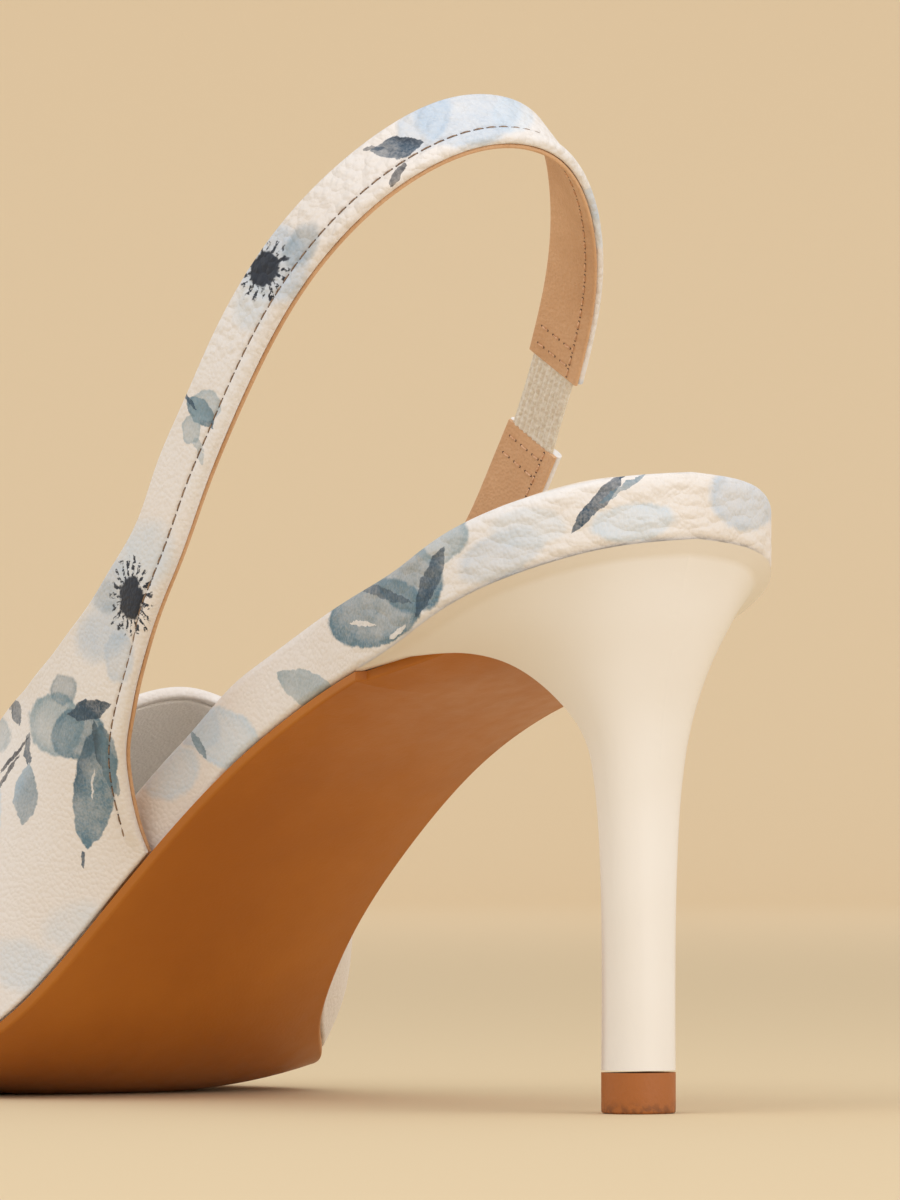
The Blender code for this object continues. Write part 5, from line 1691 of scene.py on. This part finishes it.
def build_stage():
    """Pale floor with painted light, turned up far behind the shoe in a wide curve, and soft
    studio light.
    """
    profile = [(-FLOOR_REACH, 0.0), (FLOOR_REACH, 0.0)]
    for turn in np.linspace(0.0, 0.5 * math.pi, 16)[1:]:
        profile.append((FLOOR_REACH + FLOOR_CURVE * math.sin(turn),
                        FLOOR_CURVE * (1.0 - math.cos(turn))))
    profile.append((FLOOR_REACH + FLOOR_CURVE, 3.0))
    vertices = []
    for away, height in profile:
        for out in (-FLOOR_REACH, FLOOR_REACH):
            spot = SIGHT * away + RIGHT * out
            vertices.append((spot[0], spot[1], height - FLOOR_DROP))
    faces = [(2 * k, 2 * k + 1, 2 * k + 3, 2 * k + 2) for k in range(len(profile) - 1)]
    mesh = bpy.data.meshes.new("floor")
    mesh.from_pydata(vertices, [], faces)
    mesh.shade_smooth()
    floor = bpy.data.objects.new("floor", mesh)
    bpy.context.collection.objects.link(floor)
    paint = Paint("pale_floor_painted_light")
    # Painted light: the floor is painted darker near the shoe and lighter far behind it, where the
    # backdrop turns up.
    tone = paint.ramp(paint.vector("LENGTH", paint.place), *FLOOR_PAINTED_LIGHT)
    colour = paint.mix(tone, paint_colour(216, 195, 160), paint_colour(238, 216, 181))
    paint.set(Base_Color=colour, Roughness=0.85, Specular_IOR_Level=0.1)
    mesh.materials.append(paint.material)
    world = bpy.data.worlds.new("studio")
    world.use_nodes = True
    background = world.node_tree.nodes["Background"]
    background.inputs["Color"].default_value = (1.0, 0.99, 0.985, 1.0)
    background.inputs["Strength"].default_value = 0.80
    bpy.context.scene.world = world
    wall = SIGHT * 4.2 + (0.0, 0.0, 0.6)
    # name, right, near, height, size, power, target
    build_light("key", -0.55, 0.75, 1.05, (0.7, 0.9), 3.2, SHOE_MIDDLE)
    build_light("top", 0.20, 0.30, 1.30, (1.0, 0.8), 2.6, SHOE_MIDDLE)
    build_light("fill", 0.95, 0.7, 0.45, (0.9, 0.8), 3.5, SHOE_MIDDLE)
    build_light("backdrop", 0.0, -2.4, 2.6, (2.4, 0.8), 5.0, wall)


def build_camera():
    """Long lens, low and from the outer back quarter, as in the photograph."""
    distance = 1.3
    height = 0.040
    focal = 9360.0         # in picture elements
    frame_high = 1200.0
    middle = (450.0, 600.0)
    foot = (640.0, 825.0)  # where the heel tip stands in the frame
    pitch = math.atan((foot[1] - middle[1]) / focal)
    data = bpy.data.cameras.new("view")
    data.sensor_fit = "VERTICAL"
    data.sensor_height = 36.0
    data.lens = focal / frame_high * data.sensor_height
    data.clip_start = 0.05
    data.clip_end = 20.0
    camera = bpy.data.objects.new("view", data)
    bpy.context.collection.objects.link(camera)
    spot = -SIGHT * distance - RIGHT * (foot[0] - middle[0]) * distance / focal
    camera.location = (spot[0], spot[1], height)
    aim = SIGHT * math.cos(pitch) + (0.0, 0.0, math.sin(pitch))
    camera.rotation_euler = Vector(aim).to_track_quat("-Z", "Y").to_euler()
    bpy.context.scene.camera = camera


build_stage()
build_camera()
bpy.context.scene.view_settings.view_transform = "Standard"

skin = Skin()
leather = printed_leather()
lining = smooth_leather("lining_leather", paint_colour(222, 180, 140), paint_colour(206, 161, 120),
                        1900.0, 0.6, paint_colour(253, 249, 243))
sock = smooth_leather("sock_leather", paint_colour(240, 231, 220), paint_colour(229, 217, 203),
                      1900.0, 0.6)
finish_piece(build_sheet(skin, "printed_upper", 0.0, LEATHER, 0.0, 0.0, True), leather,
             "printed_leather", "upper")
finish_piece(build_sheet(skin, "upper_lining", LINING_DEPTH, LINING, LINING_REAR, LINING_BACK,
                         False), lining, "lining_leather")
finish_piece(build_footbed(), leather, "printed_leather", "footbed")
finish_piece(build_insole(), sock, "lining_leather", "insole")
finish_piece(build_outsole(), sole_material(), "sole_rubber", "outsole")
finish_piece(build_heel(), heel_material(), "heel_gloss", "heel")
finish_piece(build_heel_tip(), tip_material(), "tip_rubber", "heel_tip")
finish_piece(build_elastic(skin), webbing_material(), "webbing", "elastic")
seam, lining_seam, needle_holes = build_stitching(skin)
finish_piece(seam, thread_material("brown_thread", paint_colour(166, 138, 112),
                                   paint_colour(118, 90, 68)), "printed_leather")
# Painted shade: dark dots stand for the shade inside the needle holes.
finish_piece(needle_holes, thread_material("needle_hole_painted_shade", paint_colour(92, 62, 44),
                                            paint_colour(60, 40, 30)), "lining_leather")
finish_piece(lining_seam, thread_material("tan_thread", paint_colour(240, 200, 164),
                                          paint_colour(206, 156, 116)), "lining_leather")
